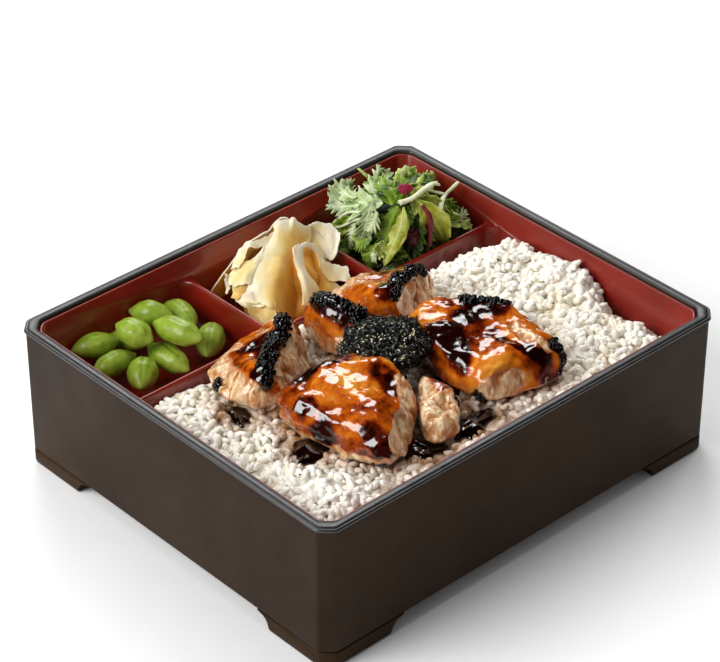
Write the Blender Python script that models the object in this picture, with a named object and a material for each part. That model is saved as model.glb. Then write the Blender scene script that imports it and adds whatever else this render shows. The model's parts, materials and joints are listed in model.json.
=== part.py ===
"""Bento box meal: a footed, black-rimmed outer box, a red divided tray, and the food in it.

Metres, +Z up. The long front side faces -Y; the three small compartments run along the back.
"""
import math

import bmesh
import bpy
from mathutils import Vector, noise

# outer box
box_width = 0.240          # along X, over the rim
box_depth = 0.208          # along Y, over the rim
rim_height = 0.074         # top of the rim above the table
rim_band = 0.0018          # height of the proud band under the rim's top
rim_proud = 0.0008         # how far the band stands out from the walls
rim_width = 0.0050         # flat top of the rim, outside to inside
corner_cut = 0.0060        # corner flats of the outside
inner_cut = 0.0050         # corner flats of the inside
foot_height = 0.0078
foot_reach = 0.0372        # each foot's arm at the table, from the corner
foot_cove = 0.0076         # how much longer the arm is where it meets the wall
foot_thick = 0.0085
base_thick = 0.0030
ledge_height = 0.0385      # ledge inside the walls that the tray stands on
ledge_width = 0.0040
gap = 0.0003               # between pieces that touch

# red tray
tray_top = 0.0726
tray_floor = 0.0400
tray_wall = 0.0015
ridge_height = 0.0612      # tops of the three dividers
ridge_half = 0.0014
ridge_foot_half = 0.0026
ridge_flare = 0.0050
long_divider_y = 0.0355
short_divider_x = (-0.0265, 0.0415)

# food
rice_level = 0.0560
chicken_base = 0.0597

# ten pods: place, turn, tilt, half length, radius
pods = (
    ((-0.0564, 0.0870, 0.0595), -63, 4, 0.0102, 0.0063),
    ((-0.0420, 0.0839, 0.0536), -100, 6, 0.0126, 0.0070),
    ((-0.0743, 0.0765, 0.0621), -79, -4, 0.0097, 0.0070),
    ((-0.0601, 0.0633, 0.0633), -83, 6, 0.0140, 0.0068),
    ((-0.0407, 0.0634, 0.0494), -138, 0, 0.0118, 0.0070),
    ((-0.0868, 0.0898, 0.0543), -21, 0, 0.0108, 0.0063),
    ((-0.0699, 0.0884, 0.0500), -62, 0, 0.0090, 0.0056),
    ((-0.0869, 0.0766, 0.0506), -5, 4, 0.0110, 0.0063),
    ((-0.0652, 0.0642, 0.0504), -88, 0, 0.0130, 0.0065),
    ((-0.0831, 0.0603, 0.0523), -134, 0, 0.0104, 0.0072),
)

# chicken pieces: corners seen from above (mm), thickness (mm), fall of the top along x and y,
# ridge from, to and height (mm), cut slope beside the ridge (its sign picks the side), seed
chicken = {
    "chicken_left": (((-66, 34), (-74, 24), (-77, 10), (-75.5, -5), (-69, -9.5), (-54, -11), (-36, -7), (-27.5, 9),
                      (-26.5, 25), (-38, 34)), 19.0, (-0.10, 0.24), (-36, 17, -67, -4, 5.0), -0.75, 1.3),
    "chicken_middle": (((-18, 24), (-20, 10), (-17, -4), (-7, -5.5), (2.5, 1), (1, 16), (-8, 26)),
                       20.0, (0.00, 0.00), (-17, 18, -5, -7, 5.5), 0.70, 4.1),
    "chicken_back": (((5, 20), (3.5, 28), (7, 34), (20, 34), (36, 30.5), (45, 20), (47, 6), (42, -4), (32, -5.5),
                      (14, -3.5), (6.5, 7)), 19.0, (-0.09, 0.16), (41, 10, 14, 5, 3.5), -0.45, 7.7),
    "chicken_right": (((3.5, -28), (1, -48), (5, -70), (28, -79), (48, -76), (55.5, -62), (54, -45), (52, -30),
                       (38, -10), (16, -8)), 18.5, (-0.08, 0.04), (38, -24, 51, -40, 3.0), 0.0, 11.2),
    "chicken_front": (((-69, -15), (-71, -43), (-60, -77), (-38, -69), (-20.5, -50), (-25, -19), (-43, -12.5)),
                      20.5, (0.04, 0.04), (-46, -18, -28, -40, 2.0), 0.0, 15.9),
    "chicken_small": (((-33.5, -70), (-31, -78), (-18, -78), (-10.5, -70), (-6.5, -60), (-5.5, -52), (-11, -46), (-18, -50)),
                      11.5, (-0.02, 0.06), (-9, -52, -10, -66, 1.5), 0.0, 19.4),
}

# where the rice heap ends on its right and back sides (mm); past these lines it falls away
heap_right = ((-97, 97), (-86, 100), (-76, 104), (-65, 104), (-57, 99), (-48, 103), (-38, 109), (-20, 110),
              (-8, 108), (3, 103), (13, 106), (24, 99), (33, 94))
heap_back = ((30, 34), (46, 29), (64, 27), (80, 25), (96, 24), (113, 22))
heap_slope = 1.5             # how steeply it falls

palette = {
    "lacquer_brown": ((0.045, 0.030, 0.021, 1), 0.42),
    "lacquer_red": ((0.33, 0.030, 0.015, 1), 0.30),
    "rice_white": ((0.80, 0.77, 0.69, 1), 0.45),
    "glazed_chicken": ((0.42, 0.14, 0.03, 1), 0.25),
    "nori_black": ((0.012, 0.013, 0.011, 1), 0.55),
    "pod_green": ((0.28, 0.44, 0.06, 1), 0.30),
    "ginger_cream": ((0.80, 0.63, 0.36, 1), 0.35),
    "leaf_green": ((0.20, 0.40, 0.07, 1), 0.45),
}


def clear_scene():
    for item in list(bpy.data.objects):
        bpy.data.objects.remove(item, do_unlink=True)


def make_material(name):
    colour, rough = palette[name]
    material = bpy.data.materials.get(name) or bpy.data.materials.new(name)
    material.use_nodes = True
    shader = material.node_tree.nodes["Principled BSDF"]
    shader.inputs["Base Color"].default_value = colour
    shader.inputs["Roughness"].default_value = rough
    shader.inputs["Metallic"].default_value = 0.0
    material.diffuse_color = colour
    return material


def add_object(name, bm, material, smooth=40, collection=None):
    bmesh.ops.recalc_face_normals(bm, faces=bm.faces)
    mesh = bpy.data.meshes.new(name)
    bm.to_mesh(mesh)
    bm.free()
    mesh.polygons.foreach_set("use_smooth", [True] * len(mesh.polygons))
    mesh.set_sharp_from_angle(angle=math.radians(smooth))
    mesh.materials.append(make_material(material))
    made = bpy.data.objects.new(name, mesh)
    (collection or meal).objects.link(made)
    return made


def corner_ring(half_x, half_y, cut, soft, z, steps=3):
    """Outline of a rectangle with cut corners whose two edges are each rounded."""
    sides = []
    for sx, sy in ((1, 1), (-1, 1), (-1, -1), (1, -1)):
        along = [(sx * half_x, sy * (half_y - cut)), (sx * (half_x - cut), sy * half_y)]
        sides += along if sx * sy > 0 else along[::-1]
    ring = []
    count = len(sides)
    for k, corner in enumerate(sides):
        before = Vector(sides[k - 1])
        here = Vector(corner)
        after = Vector(sides[(k + 1) % count])
        come = (here - before).normalized()
        leave = (after - here).normalized()
        inward = Vector((-come.y, come.x))
        turn = come.angle_signed(leave) * -1
        reach = soft * math.tan(abs(turn) / 2)
        centre = here - come * reach + inward * soft
        for step in range(steps + 1):
            swing = turn * step / steps
            arm = -inward * soft
            spot = Vector((arm.x * math.cos(swing) - arm.y * math.sin(swing),
                           arm.x * math.sin(swing) + arm.y * math.cos(swing)))
            ring.append((centre.x + spot.x, centre.y + spot.y, z))
    return ring


def spread(ring, count):
    """The same outline with its points evenly spaced."""
    spots = [Vector(point) for point in ring]
    spots.append(spots[0])
    runs = [(b - a).length for a, b in zip(spots, spots[1:])]
    total = sum(runs)
    made, at, leg = [], 0.0, 0
    for k in range(count):
        want = total * k / count
        while at + runs[leg] < want:
            at += runs[leg]
            leg += 1
        made.append(tuple(spots[leg].lerp(spots[leg + 1], (want - at) / runs[leg])))
    return made


def loft(bm, rings):
    """Closed body from equal rings, capped at both ends."""
    rows = [[bm.verts.new(point) for point in ring] for ring in rings]
    count = len(rows[0])
    for low, high in zip(rows, rows[1:]):
        for k in range(count):
            bm.faces.new((low[k], low[(k + 1) % count], high[(k + 1) % count], high[k]))
    bm.faces.new(rows[0][::-1])
    bm.faces.new(rows[-1])
    return rows


def domed(bm, rings, bottom, top):
    """Closed body from equal rings that ends in a point at each end."""
    rows = [[bm.verts.new(point) for point in ring] for ring in rings]
    count = len(rows[0])
    for low, high in zip(rows, rows[1:]):
        for k in range(count):
            bm.faces.new((low[k], low[(k + 1) % count], high[(k + 1) % count], high[k]))
    first, last = bm.verts.new(bottom), bm.verts.new(top)
    for k in range(count):
        bm.faces.new((rows[0][(k + 1) % count], rows[0][k], first))
        bm.faces.new((rows[-1][k], rows[-1][(k + 1) % count], last))


def build_shell():
    half_x, half_y = box_width / 2, box_depth / 2

    def outside(inset, z):
        return corner_ring(half_x - inset, half_y - inset, corner_cut - 0.586 * inset, 0.0032, z)

    def inside(inset, z):
        cut = inner_cut - 0.586 * (inset - rim_width)
        return corner_ring(half_x - inset, half_y - inset, cut, 0.0040, z)

    top = rim_height
    rings = [
        outside(rim_proud + 0.0006, foot_height),
        outside(rim_proud, foot_height + 0.0006),
        outside(rim_proud, top - rim_band - 0.0003),
        outside(0.0002, top - rim_band),
        outside(0.0, top - rim_band + 0.0003),
        outside(0.0, top - 0.0010),
        outside(0.0003, top - 0.0005),
        outside(0.0009, top - 0.0003),
        outside(0.0013, top - 0.0007),
        outside(0.0017, top - 0.0001),
        outside(0.0022, top),
        inside(rim_width - 0.0005, top),
        inside(rim_width, top - 0.0005),
        inside(rim_width, ledge_height),
        inside(rim_width + ledge_width, ledge_height),
        inside(rim_width + ledge_width, foot_height + base_thick),
    ]
    bm = bmesh.new()
    loft(bm, rings)
    return add_object("box_shell", bm, "lacquer_brown", smooth=32)


def build_feet():
    """Corner brackets whose two arms end in a cove."""
    half_x, half_y = box_width / 2 - rim_proud, box_depth / 2 - rim_proud
    cut = corner_cut - 0.586 * rim_proud
    top = foot_height - gap
    levels = 7
    for name, sx, sy in (("foot_front_left", -1, -1), ("foot_front_right", 1, -1),
                         ("foot_back_right", 1, 1), ("foot_back_left", -1, 1)):
        bm = bmesh.new()
        rings = []
        for level in range(levels):
            rise = level / (levels - 1)
            # the arm stays short, then sweeps out under the wall
            reach = foot_reach + foot_cove * (1 - math.sqrt(max(0.0, 1 - rise ** 2.2)))
            trim = 0.0005 if level == 0 else 0.0
            near = foot_thick
            outline = [
                (reach - trim, trim), (reach - trim, near - trim),
                (near + 0.003, near - trim), (near, near + 0.003),
                (near - trim, reach - trim), (trim, reach - trim),
                (trim, cut + 0.0008), (0.0004 + trim, cut - 0.0004),
                (cut - 0.0004, 0.0004 + trim), (cut + 0.0008, trim),
            ]
            rings.append([(sx * (half_x - px), sy * (half_y - py), rise * top) for px, py in outline])
        loft(bm, rings)
        add_object(name, bm, "lacquer_brown", smooth=35)


def divider_body(bm, start, end, low, z_top):
    """Ridge with a round top, drafted sides and ends that flare into the walls."""
    start, end = Vector(start), Vector(end)
    length = (end - start).length
    along = (end - start) / length
    side = Vector((-along.y, along.x))
    flare_run = 0.0075
    spots = [flare_run * k / 5 for k in range(6)]
    spots = spots + [length - s for s in reversed(spots)]
    profile = (
        (-1.0, 0.0, 1), (-0.55, 0.30, 1), (-0.12, 0.86, 0), (0.0, 0.955, 0), (0.30, 1.0, 0),
    )
    rings = []
    for spot in spots:
        edge = min(spot, length - spot)
        flare = ridge_flare * (1 - min(1.0, edge / flare_run)) ** 2.2
        ring = []
        for sign in (-1, 1):
            points = []
            for bulge, height, base in profile:
                half = ridge_half + flare
                if base:
                    half += (ridge_foot_half - ridge_half) * (1 - height)
                    half += 0.0016 * max(0.0, -bulge - 0.5)
                elif bulge > 0.1:
                    half *= 0.45
                elif height > 0.9:
                    half -= 0.00035
                points.append((sign * half, low + (z_top - low) * height))
            ring += points if sign < 0 else points[::-1]
        place = start + along * spot
        rings.append([(place.x + side.x * off, place.y + side.y * off, z) for off, z in ring])
    loft(bm, rings)


def build_tray():
    half_x = box_width / 2 - rim_width - gap
    half_y = box_depth / 2 - rim_width - gap

    def wall(inset, z, soft=0.0040):
        cut = inner_cut - 0.586 * inset
        return corner_ring(half_x - inset, half_y - inset, cut, soft, z)

    thick = tray_wall
    low = ledge_height + gap
    rings = [
        wall(0.0006, low), wall(0.0, low + 0.0006), wall(0.0, tray_top - 0.0004),
        wall(0.0004, tray_top), wall(thick - 0.0005, tray_top), wall(thick, tray_top - 0.0005),
        wall(thick + 0.0004, tray_floor + 0.0026), wall(thick + 0.0012, tray_floor + 0.0009),
        wall(thick + 0.0028, tray_floor),
    ]
    bm = bmesh.new()
    loft(bm, rings)
    tray = add_object("inner_tray", bm, "lacquer_red", smooth=42)

    bite = 0.0007
    wall_x, wall_y = half_x - thick + bite, half_y - thick + bite
    runs = [((-wall_x, long_divider_y), (wall_x, long_divider_y), ridge_height)]
    for x in short_divider_x:
        runs.append(((x, long_divider_y + 0.0004), (x, wall_y), ridge_height - 0.0002))
    for index, (start, end, height) in enumerate(runs):
        cutter_mesh = bmesh.new()
        divider_body(cutter_mesh, start, end, tray_floor - bite, height)
        ridge = add_object(f"ridge_{index + 1}", cutter_mesh, "lacquer_red", collection=helpers)
        ridge.hide_render = True
        ridge.display_type = "WIRE"
        join = tray.modifiers.new(f"join_{index + 1}", "BOOLEAN")
        join.operation = "UNION"
        join.solver = "EXACT"
        join.object = ridge
    return tray


def uneven(x, y, z, seed, scale):
    return noise.noise(Vector((x, y, z)) * scale + Vector((seed, seed * 0.37, seed * 1.71)))


def build_rice():
    """One body out to the uneven top of the rice, packed into the front compartment."""
    side = box_width / 2 - rim_width - gap - tray_wall - 0.0007
    front = -(box_depth / 2 - rim_width - gap - tray_wall - 0.0007)
    back = long_divider_y - ridge_half - 0.0012
    mid = (front + back) / 2
    half_y = (back - front) / 2

    def outline(inset, z):
        ring = corner_ring(side - inset, half_y - inset, 0.0068, 0.0030, z)
        return [(x, y + mid, z) for x, y, _ in spread(ring, 56)]

    def along(line, at):
        at *= 1000
        for (a, low), (b, high) in zip(line, line[1:]):
            if at <= b:
                return (low + (high - low) * max(0.0, at - a) / (b - a)) * 0.001
        return line[-1][1] * 0.001

    def top(x, y):
        swell = uneven(x, y, 0, 3.1, 34) * 0.0050 + uneven(x, y, 0, 8.2, 95) * 0.0019
        edge = min(side + x, half_y - abs(y - mid))
        crown = 0.0048 * min(1.0, edge / 0.022)
        if x > 0.055:
            crown += 0.0024 * min(1.0, (x - 0.055) / 0.02)
        if x < -0.070 and y > -0.005:
            crown += 0.0030 * min(1.0, (y + 0.005) / 0.02) * min(1.0, (-0.070 - x) / 0.012)
        past = max(0.0, x - along(heap_right, y), (y - along(heap_back, x)) * 0.8 if x > 0.030 else 0.0)
        return max(tray_floor + 0.0070, rice_level + swell + crown - heap_slope * past)

    spans = []
    for corners, *_ in chicken.values():
        xs, ys = [x / 1000 for x, _ in corners], [y / 1000 for _, y in corners]
        spans.append((min(xs), max(xs), min(ys), max(ys)))
    spans.append((-0.025, 0.006, -0.044, -0.004))

    def under_chicken(x, y, z):
        clear = min(math.hypot(max(x0 - x, x - x1, 0), max(y0 - y, y - y1, 0)) for x0, x1, y0, y1 in spans)
        return min(z, chicken_base - 0.0004 + 0.45 * max(0.0, clear - 0.010))

    bm = bmesh.new()
    rings = [outline(0.0050, tray_floor + gap), outline(0.0018, tray_floor + 0.0034)]
    for inset in (0.0, 0.0008):
        ring = outline(inset, 0)
        lift = -0.0016 if inset == 0.0 else 0.0
        rings.append([(x, y, under_chicken(x, y, top(x, y)) + lift) for x, y, _ in ring])
    border = outline(0.0008, 0)
    for share in (0.965, 0.93, 0.89, 0.84, 0.78, 0.70, 0.61, 0.52, 0.42, 0.31, 0.18):
        ring = []
        for x, y, _ in border:
            px, py = x * share, mid + (y - mid) * share
            ring.append((px, py, under_chicken(px, py, top(px, py))))
        rings.append(ring)
    loft(bm, rings)
    bmesh.ops.triangulate(bm, faces=[face for face in bm.faces if len(face.verts) > 4])
    return add_object("rice", bm, "rice_white", smooth=60)


def rounded(corners, count):
    """Closed smooth outline through the corners."""
    spots = [Vector(corner) for corner in corners]
    total = len(spots)
    curve = []
    for k in range(total):
        p0, p1, p2, p3 = (spots[(k + j) % total] for j in (-1, 0, 1, 2))
        for step in range(6):
            t = step / 6
            curve.append(0.5 * (2 * p1 + (p2 - p0) * t + (2 * p0 - 5 * p1 + 4 * p2 - p3) * t ** 2
                                + (3 * p1 - p0 - 3 * p2 + p3) * t ** 3))
    return spread([(spot.x, spot.y, 0) for spot in curve], count)


def build_chicken(name, corners, thick, fall, ridge, cut, seed):
    """Thick uneven slab: flat underneath, full sides, a lumpy crown with one ridge."""
    outline = [Vector(spot).xy * 0.001 for spot in rounded(corners, 26)]
    middle = sum(outline, Vector((0, 0))) / len(outline)
    thick *= 0.001
    start, end, lift = Vector(ridge[:2]) * 0.001, Vector(ridge[2:4]) * 0.001, ridge[4] * 0.001
    run = end - start
    beside = Vector((-run.y, run.x)).normalized() * (1 if cut > 0 else -1)

    def spot(around, share, height):
        flat = outline[around] - middle
        ripple = 0.0011 * uneven(flat.x, flat.y, height * thick * 1.5, seed, 170) * share
        place = middle + flat * share + flat.normalized() * (ripple - 0.0006 * share)
        along = min(1.0, max(0.0, (place - start).dot(run) / run.length_squared))
        off = (place - start - run * along).length
        top = thick + uneven(place.x, place.y, 0, seed + 2.0, 85) * 0.0034
        top += fall[0] * (place.x - middle.x) + fall[1] * (place.y - middle.y)
        top += lift * math.exp(-(off / 0.0065) ** 2)
        # beyond the ridge the piece was cut through, so it falls away
        top -= abs(cut) * max(0.0, (place - start).dot(beside) - 0.001)
        return (place.x, place.y, chicken_base + max(0.0, height * top))

    levels = ((0.62, 0.0), (0.90, 0.05), (0.99, 0.22), (1.0, 0.46), (0.965, 0.70),
              (0.87, 0.88), (0.72, 0.965), (0.50, 1.0), (0.25, 1.0))
    rings = [[spot(k, share, height) for k in range(len(outline))] for share, height in levels]
    bm = bmesh.new()
    domed(bm, rings, (middle.x, middle.y, chicken_base), spot(0, 0.001, 1.0))
    return add_object(name, bm, "glazed_chicken", smooth=70)


def build_mound(name, material, centre, low, peak, half, levels, around, seed, ruffle, lean=(0.0, 0.0), room=None):
    """Heap with a lumpy outline that narrows towards its peak and keeps inside its room."""
    rings = []
    for share, rise in levels:
        ring = []
        for k in range(around):
            angle = 2 * math.pi * k / around
            c, s = math.cos(angle), math.sin(angle)
            wave = 1 + ruffle * uneven(c * 0.02, s * 0.02, rise * 0.03, seed, 120)
            x = centre[0] + lean[0] * rise + half[0] * share * wave * c
            y = centre[1] + lean[1] * rise + half[1] * share * wave * s
            if room:
                x, y = min(room[1], max(room[0], x)), min(room[3], max(room[2], y))
            lift = rise * (peak - low) + 0.003 * rise * uneven(x, y, 0, seed + 5, 110)
            ring.append((x, y, low + lift))
        rings.append(ring)
    bm = bmesh.new()
    domed(bm, rings, (centre[0], centre[1], low), (centre[0] + lean[0], centre[1] + lean[1], peak))
    return add_object(name, bm, material, smooth=60)


def build_pod(name, place, turn, tilt, half, radius):
    """Plump bean with pointed ends and a faint seam ridge."""
    around = 10
    spots = (-0.96, -0.84, -0.58, -0.22, 0.18, 0.55, 0.83, 0.96)
    rings = []
    for u in spots:
        girth = radius * (1 - abs(u) ** 2.4) ** 0.62
        bend = -0.05 * half * (u * u)
        ring = []
        for k in range(around):
            angle = 2 * math.pi * k / around
            swell = 1.03 if k == 0 else 1.0
            ring.append((half * u, girth * swell * math.cos(angle), 0.93 * girth * math.sin(angle) + bend))
        rings.append(ring)
    bm = bmesh.new()
    bend = -0.05 * half
    domed(bm, rings, (-half, 0, bend), (half * 1.04, 0, bend))
    pod = add_object(name, bm, "pod_green", smooth=70)
    pod.location = place
    pod.rotation_euler = (0, -math.radians(tilt), math.radians(turn))
    return pod


clear_scene()
meal = bpy.data.collections.new("bento_box_meal")
helpers = bpy.data.collections.new("cutters")
bpy.context.scene.collection.children.link(meal)
bpy.context.scene.collection.children.link(helpers)

build_shell()
build_feet()
build_tray()
build_rice()
for piece, values in chicken.items():
    build_chicken(piece, *values)
for index, values in enumerate(pods):
    build_pod(f"edamame_{index + 1:02d}", *values)
build_mound("nori_heap", "nori_black", (-0.0105, -0.0225), 0.0597, 0.0828, (0.0130, 0.0145),
            ((0.62, 0.0), (0.80, 0.10), (0.86, 0.40), (1.0, 0.66), (0.98, 0.80), (0.60, 0.95)), 14, 2.2, 0.10)
build_mound("ginger_heap", "ginger_cream", (0.0080, 0.0660), tray_floor + gap, 0.0830, (0.0290, 0.0255),
            ((0.72, 0.0), (0.92, 0.08), (1.0, 0.25), (0.98, 0.42), (0.84, 0.60), (0.62, 0.78), (0.34, 0.93)),
            22, 6.4, 0.30, lean=(0.005, 0.009), room=(-0.0225, 0.0375, 0.0395, 0.0960))
build_mound("salad_heap", "leaf_green", (0.0775, 0.0670), tray_floor + gap, 0.0880, (0.0310, 0.0265),
            ((0.74, 0.0), (0.93, 0.08), (1.0, 0.28), (1.0, 0.50), (0.90, 0.72), (0.66, 0.90), (0.34, 0.98)),
            26, 9.6, 0.26, room=(0.0455, 0.1095, 0.0395, 0.0945))
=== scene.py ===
import json
import math

import bmesh
import bpy
import numpy as np
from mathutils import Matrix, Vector, noise
from mathutils.bvhtree import BVHTree

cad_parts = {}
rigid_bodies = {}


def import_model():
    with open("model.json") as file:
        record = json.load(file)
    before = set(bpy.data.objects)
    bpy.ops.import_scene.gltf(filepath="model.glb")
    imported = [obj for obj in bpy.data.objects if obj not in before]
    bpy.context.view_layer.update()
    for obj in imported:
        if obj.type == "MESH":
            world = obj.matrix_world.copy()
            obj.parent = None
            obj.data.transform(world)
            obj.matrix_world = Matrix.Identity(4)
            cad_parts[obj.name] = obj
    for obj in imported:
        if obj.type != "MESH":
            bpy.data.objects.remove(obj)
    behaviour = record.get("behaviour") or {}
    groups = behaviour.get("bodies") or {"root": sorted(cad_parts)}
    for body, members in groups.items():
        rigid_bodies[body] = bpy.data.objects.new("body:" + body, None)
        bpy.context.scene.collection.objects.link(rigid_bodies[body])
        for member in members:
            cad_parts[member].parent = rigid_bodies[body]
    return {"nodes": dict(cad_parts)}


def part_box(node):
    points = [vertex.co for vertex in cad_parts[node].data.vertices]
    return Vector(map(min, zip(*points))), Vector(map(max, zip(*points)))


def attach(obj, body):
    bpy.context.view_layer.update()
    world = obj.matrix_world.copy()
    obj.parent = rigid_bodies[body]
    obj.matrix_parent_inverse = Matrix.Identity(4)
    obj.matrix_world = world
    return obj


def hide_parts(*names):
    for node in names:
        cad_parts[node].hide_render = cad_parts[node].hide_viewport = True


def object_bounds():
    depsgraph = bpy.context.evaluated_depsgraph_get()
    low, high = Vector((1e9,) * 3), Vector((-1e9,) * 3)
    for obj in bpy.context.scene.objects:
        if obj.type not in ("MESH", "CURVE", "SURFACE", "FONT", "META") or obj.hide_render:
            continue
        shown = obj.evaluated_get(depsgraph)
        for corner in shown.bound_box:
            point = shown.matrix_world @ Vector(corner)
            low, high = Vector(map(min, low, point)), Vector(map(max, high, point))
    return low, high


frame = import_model()
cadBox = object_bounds()
print("stage: frame loaded")

world = bpy.context.scene.world or bpy.data.worlds.new("studioWorld")
bpy.context.scene.world = world

# short names for the shader's own sockets
socketNames = {
    "rough": "Roughness", "spec": "Specular IOR Level", "coat": "Coat Weight", "coatRough": "Coat Roughness",
    "scatter": "Subsurface Weight", "scatterReach": "Subsurface Scale", "scatterRadius": "Subsurface Radius",
}


def newMaterial(name, **sockets):
    material = bpy.data.materials.new(name)
    material.use_nodes = True
    tree = material.node_tree
    shader = tree.nodes["Principled BSDF"]
    for key, value in sockets.items():
        shader.inputs[socketNames[key]].default_value = value
    return material, tree, shader


def fillSockets(tree, made, inputs):
    # a socket is linked and a plain value is set
    for key, value in inputs.items():
        if isinstance(value, bpy.types.NodeSocket):
            tree.links.new(value, made.inputs[key])
        else:
            made.inputs[key].default_value = value


def node(tree, kind, inputs=None, **settings):
    made = tree.nodes.new("ShaderNode" + kind)
    for key, value in settings.items():
        setattr(made, key, value)
    fillSockets(tree, made, inputs or {})
    return made


def objectSpot(tree, scale=(1, 1, 1), turn=(0, 0, 0)):
    place = node(tree, "TexCoord").outputs["Object"]
    return node(tree, "Mapping", {"Vector": place, "Scale": scale, "Rotation": turn}).outputs["Vector"]


def noiseValue(tree, spot, scale, detail=4, rough=0.55, twist=0.0):
    inputs = {"Vector": spot, "Scale": scale, "Detail": detail, "Roughness": rough, "Distortion": twist}
    return node(tree, "TexNoise", inputs).outputs["Fac"]


def srgb(hexCode):
    parts = [int(hexCode[k:k + 2], 16) / 255 for k in (0, 2, 4)]
    return tuple(p / 12.92 if p <= 0.04045 else ((p + 0.055) / 1.055) ** 2.4 for p in parts) + (1,)


def ramp(tree, value, places, codes):
    made = node(tree, "ValToRGB", {"Fac": value})
    points = made.color_ramp.elements
    while len(points) < len(places):
        points.new(0.5)
    for point, place, code in zip(points, places, codes):
        point.position = place
        point.color = srgb(code)
    return made.outputs["Color"]


def blendColours(tree, share, low, high):
    low, high = (srgb(colour) if isinstance(colour, str) else colour for colour in (low, high))
    # a colour mix keeps its factor and its two colours in these sockets
    return node(tree, "Mix", {0: share, 6: low, 7: high}, data_type="RGBA").outputs[2]


def calc(tree, how, a, b=0.0):
    return node(tree, "Math", {0: a, 1: b}, operation=how).outputs[0]


def times(tree, value, factor):
    return calc(tree, "MULTIPLY", value, factor)


def centred(tree, value):
    return calc(tree, "SUBTRACT", value, 0.5)


def weighted(tree, *parts):
    total = None
    for value, weight in parts:
        share = times(tree, value, weight)
        total = share if total is None else calc(tree, "ADD", total, share)
    return total


def attributeValue(tree, name):
    return node(tree, "Attribute", attribute_name=name).outputs["Fac"]


def addBump(tree, shader, height, strength, distance, after=None):
    values = {"Height": height, "Strength": strength, "Distance": distance}
    if after:
        values["Normal"] = after
    made = node(tree, "Bump", values).outputs["Normal"]
    tree.links.new(made, shader.inputs["Normal"])
    return made


def mixRange(tree, value, low, high, outLow, outHigh):
    inputs = {"Value": value, "From Min": low, "From Max": high, "To Min": outLow, "To Max": outHigh}
    return node(tree, "MapRange", inputs).outputs["Result"]


def setSocket(tree, shader, socket, value):
    tree.links.new(value, shader.inputs[socket])


def finished(bm, name):
    mesh = bpy.data.meshes.new(name)
    bm.to_mesh(mesh)
    bm.free()
    return mesh


def placed(name, data):
    thing = bpy.data.objects.new(name, data)
    bpy.context.scene.collection.objects.link(thing)
    return thing


def shadeSmooth(mesh):
    mesh.polygons.foreach_set("use_smooth", [True] * len(mesh.polygons))


def addPiece(name, mesh, material, nodes=(), smooth=True):
    mesh.materials.clear()
    mesh.materials.append(material)
    if smooth:
        shadeSmooth(mesh)
    piece = placed(name, mesh)
    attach(piece, "root")
    if nodes:
        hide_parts(*nodes)
    return piece


def dotted(nodeName):
    return nodeName.replace("_", ".")


def mergedCopy(nodeName):
    bm = bmesh.new()
    bm.from_mesh(frame["nodes"][nodeName].data)
    bmesh.ops.remove_doubles(bm, verts=bm.verts, dist=1e-6)
    return finished(bm, nodeName + "Copy")


# camera, lamps and floor; a lamp is its place, width, height, watts and whether reflections show it
studio = {
    "azimuth": -42.63, "elevation": 34.28, "distance": 1.343, "target": (0.0269, 0.0351, 0.0370),
    "lens": 142.8, "sensor": 36, "clip": (0.05, 30),
    "lamps": {
        "key": ((-1.35, 0.35, 1.05), 1.10, 1.10, 31, True),
        "top": ((0.15, 0.55, 1.50), 1.20, 1.20, 6, False),
        "softbox": ((0.76, 1.08, 1.10), 0.78, 0.68, 10, True),
        "sideFill": ((1.50, 0.20, 0.60), 0.80, 0.80, 11, False),
    },
    "lampTarget": (0, 0, 0.05), "skyStrength": 0.24, "floorHalf": 6, "floorDrop": 0.0004,
    "floorLow": 0.92, "floorHigh": 0.95,
}


def aim(made, place, target):
    made.location = place
    made.rotation_euler = (Vector(place) - Vector(target)).to_track_quat("Z", "Y").to_euler()


def buildCamera(s):
    az, el = math.radians(s["azimuth"]), math.radians(s["elevation"])
    back = Vector((math.sin(az) * math.cos(el), -math.cos(az) * math.cos(el), math.sin(el)))
    camera = placed("camera", bpy.data.cameras.new("camera"))
    camera.data.lens = s["lens"]
    camera.data.sensor_width = s["sensor"]
    camera.data.sensor_fit = "HORIZONTAL"
    camera.data.clip_start, camera.data.clip_end = s["clip"]
    aim(camera, Vector(s["target"]) + back * s["distance"], s["target"])
    bpy.context.scene.camera = camera


def buildLamps(s):
    for name, (place, width, height, watts, glossy) in s["lamps"].items():
        light = bpy.data.lights.new(name + "Light", "AREA")
        light.shape = "RECTANGLE"
        light.size, light.size_y, light.energy = width, height, watts
        lamp = placed(name + "Light", light)
        lamp.visible_glossy = glossy
        aim(lamp, place, s["lampTarget"])
    world.use_nodes = True
    sky = world.node_tree.nodes["Background"]
    sky.inputs["Color"].default_value = (1, 1, 1, 1)
    sky.inputs["Strength"].default_value = s["skyStrength"]
    world.cycles_visibility.glossy = False


def buildFloor(s):
    material, tree, shader = newMaterial("paleFloor", rough=0.6, spec=0.2)
    mottle = node(tree, "ValToRGB", {"Fac": noiseValue(tree, objectSpot(tree), 3, 2)})
    tones = (s["floorLow"], s["floorHigh"])
    for point, place, tone in zip(mottle.color_ramp.elements, (0.3, 0.7), tones):
        point.position = place
        point.color = (tone, tone, tone, 1)
    setSocket(tree, shader, "Base Color", mottle.outputs["Color"])
    bm = bmesh.new()
    bmesh.ops.create_grid(bm, x_segments=2, y_segments=2, size=s["floorHalf"])
    bmesh.ops.translate(bm, verts=bm.verts, vec=(0, 0, -s["floorDrop"]))
    mesh = finished(bm, "studioFloor")
    mesh.materials.append(material)
    placed("studioFloor", mesh)


buildCamera(studio)
buildLamps(studio)
buildFloor(studio)
view = bpy.context.scene.view_settings
view.view_transform = "Standard"
view.look = "None"
view.exposure = 0.0
print("stage: studio")

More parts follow.
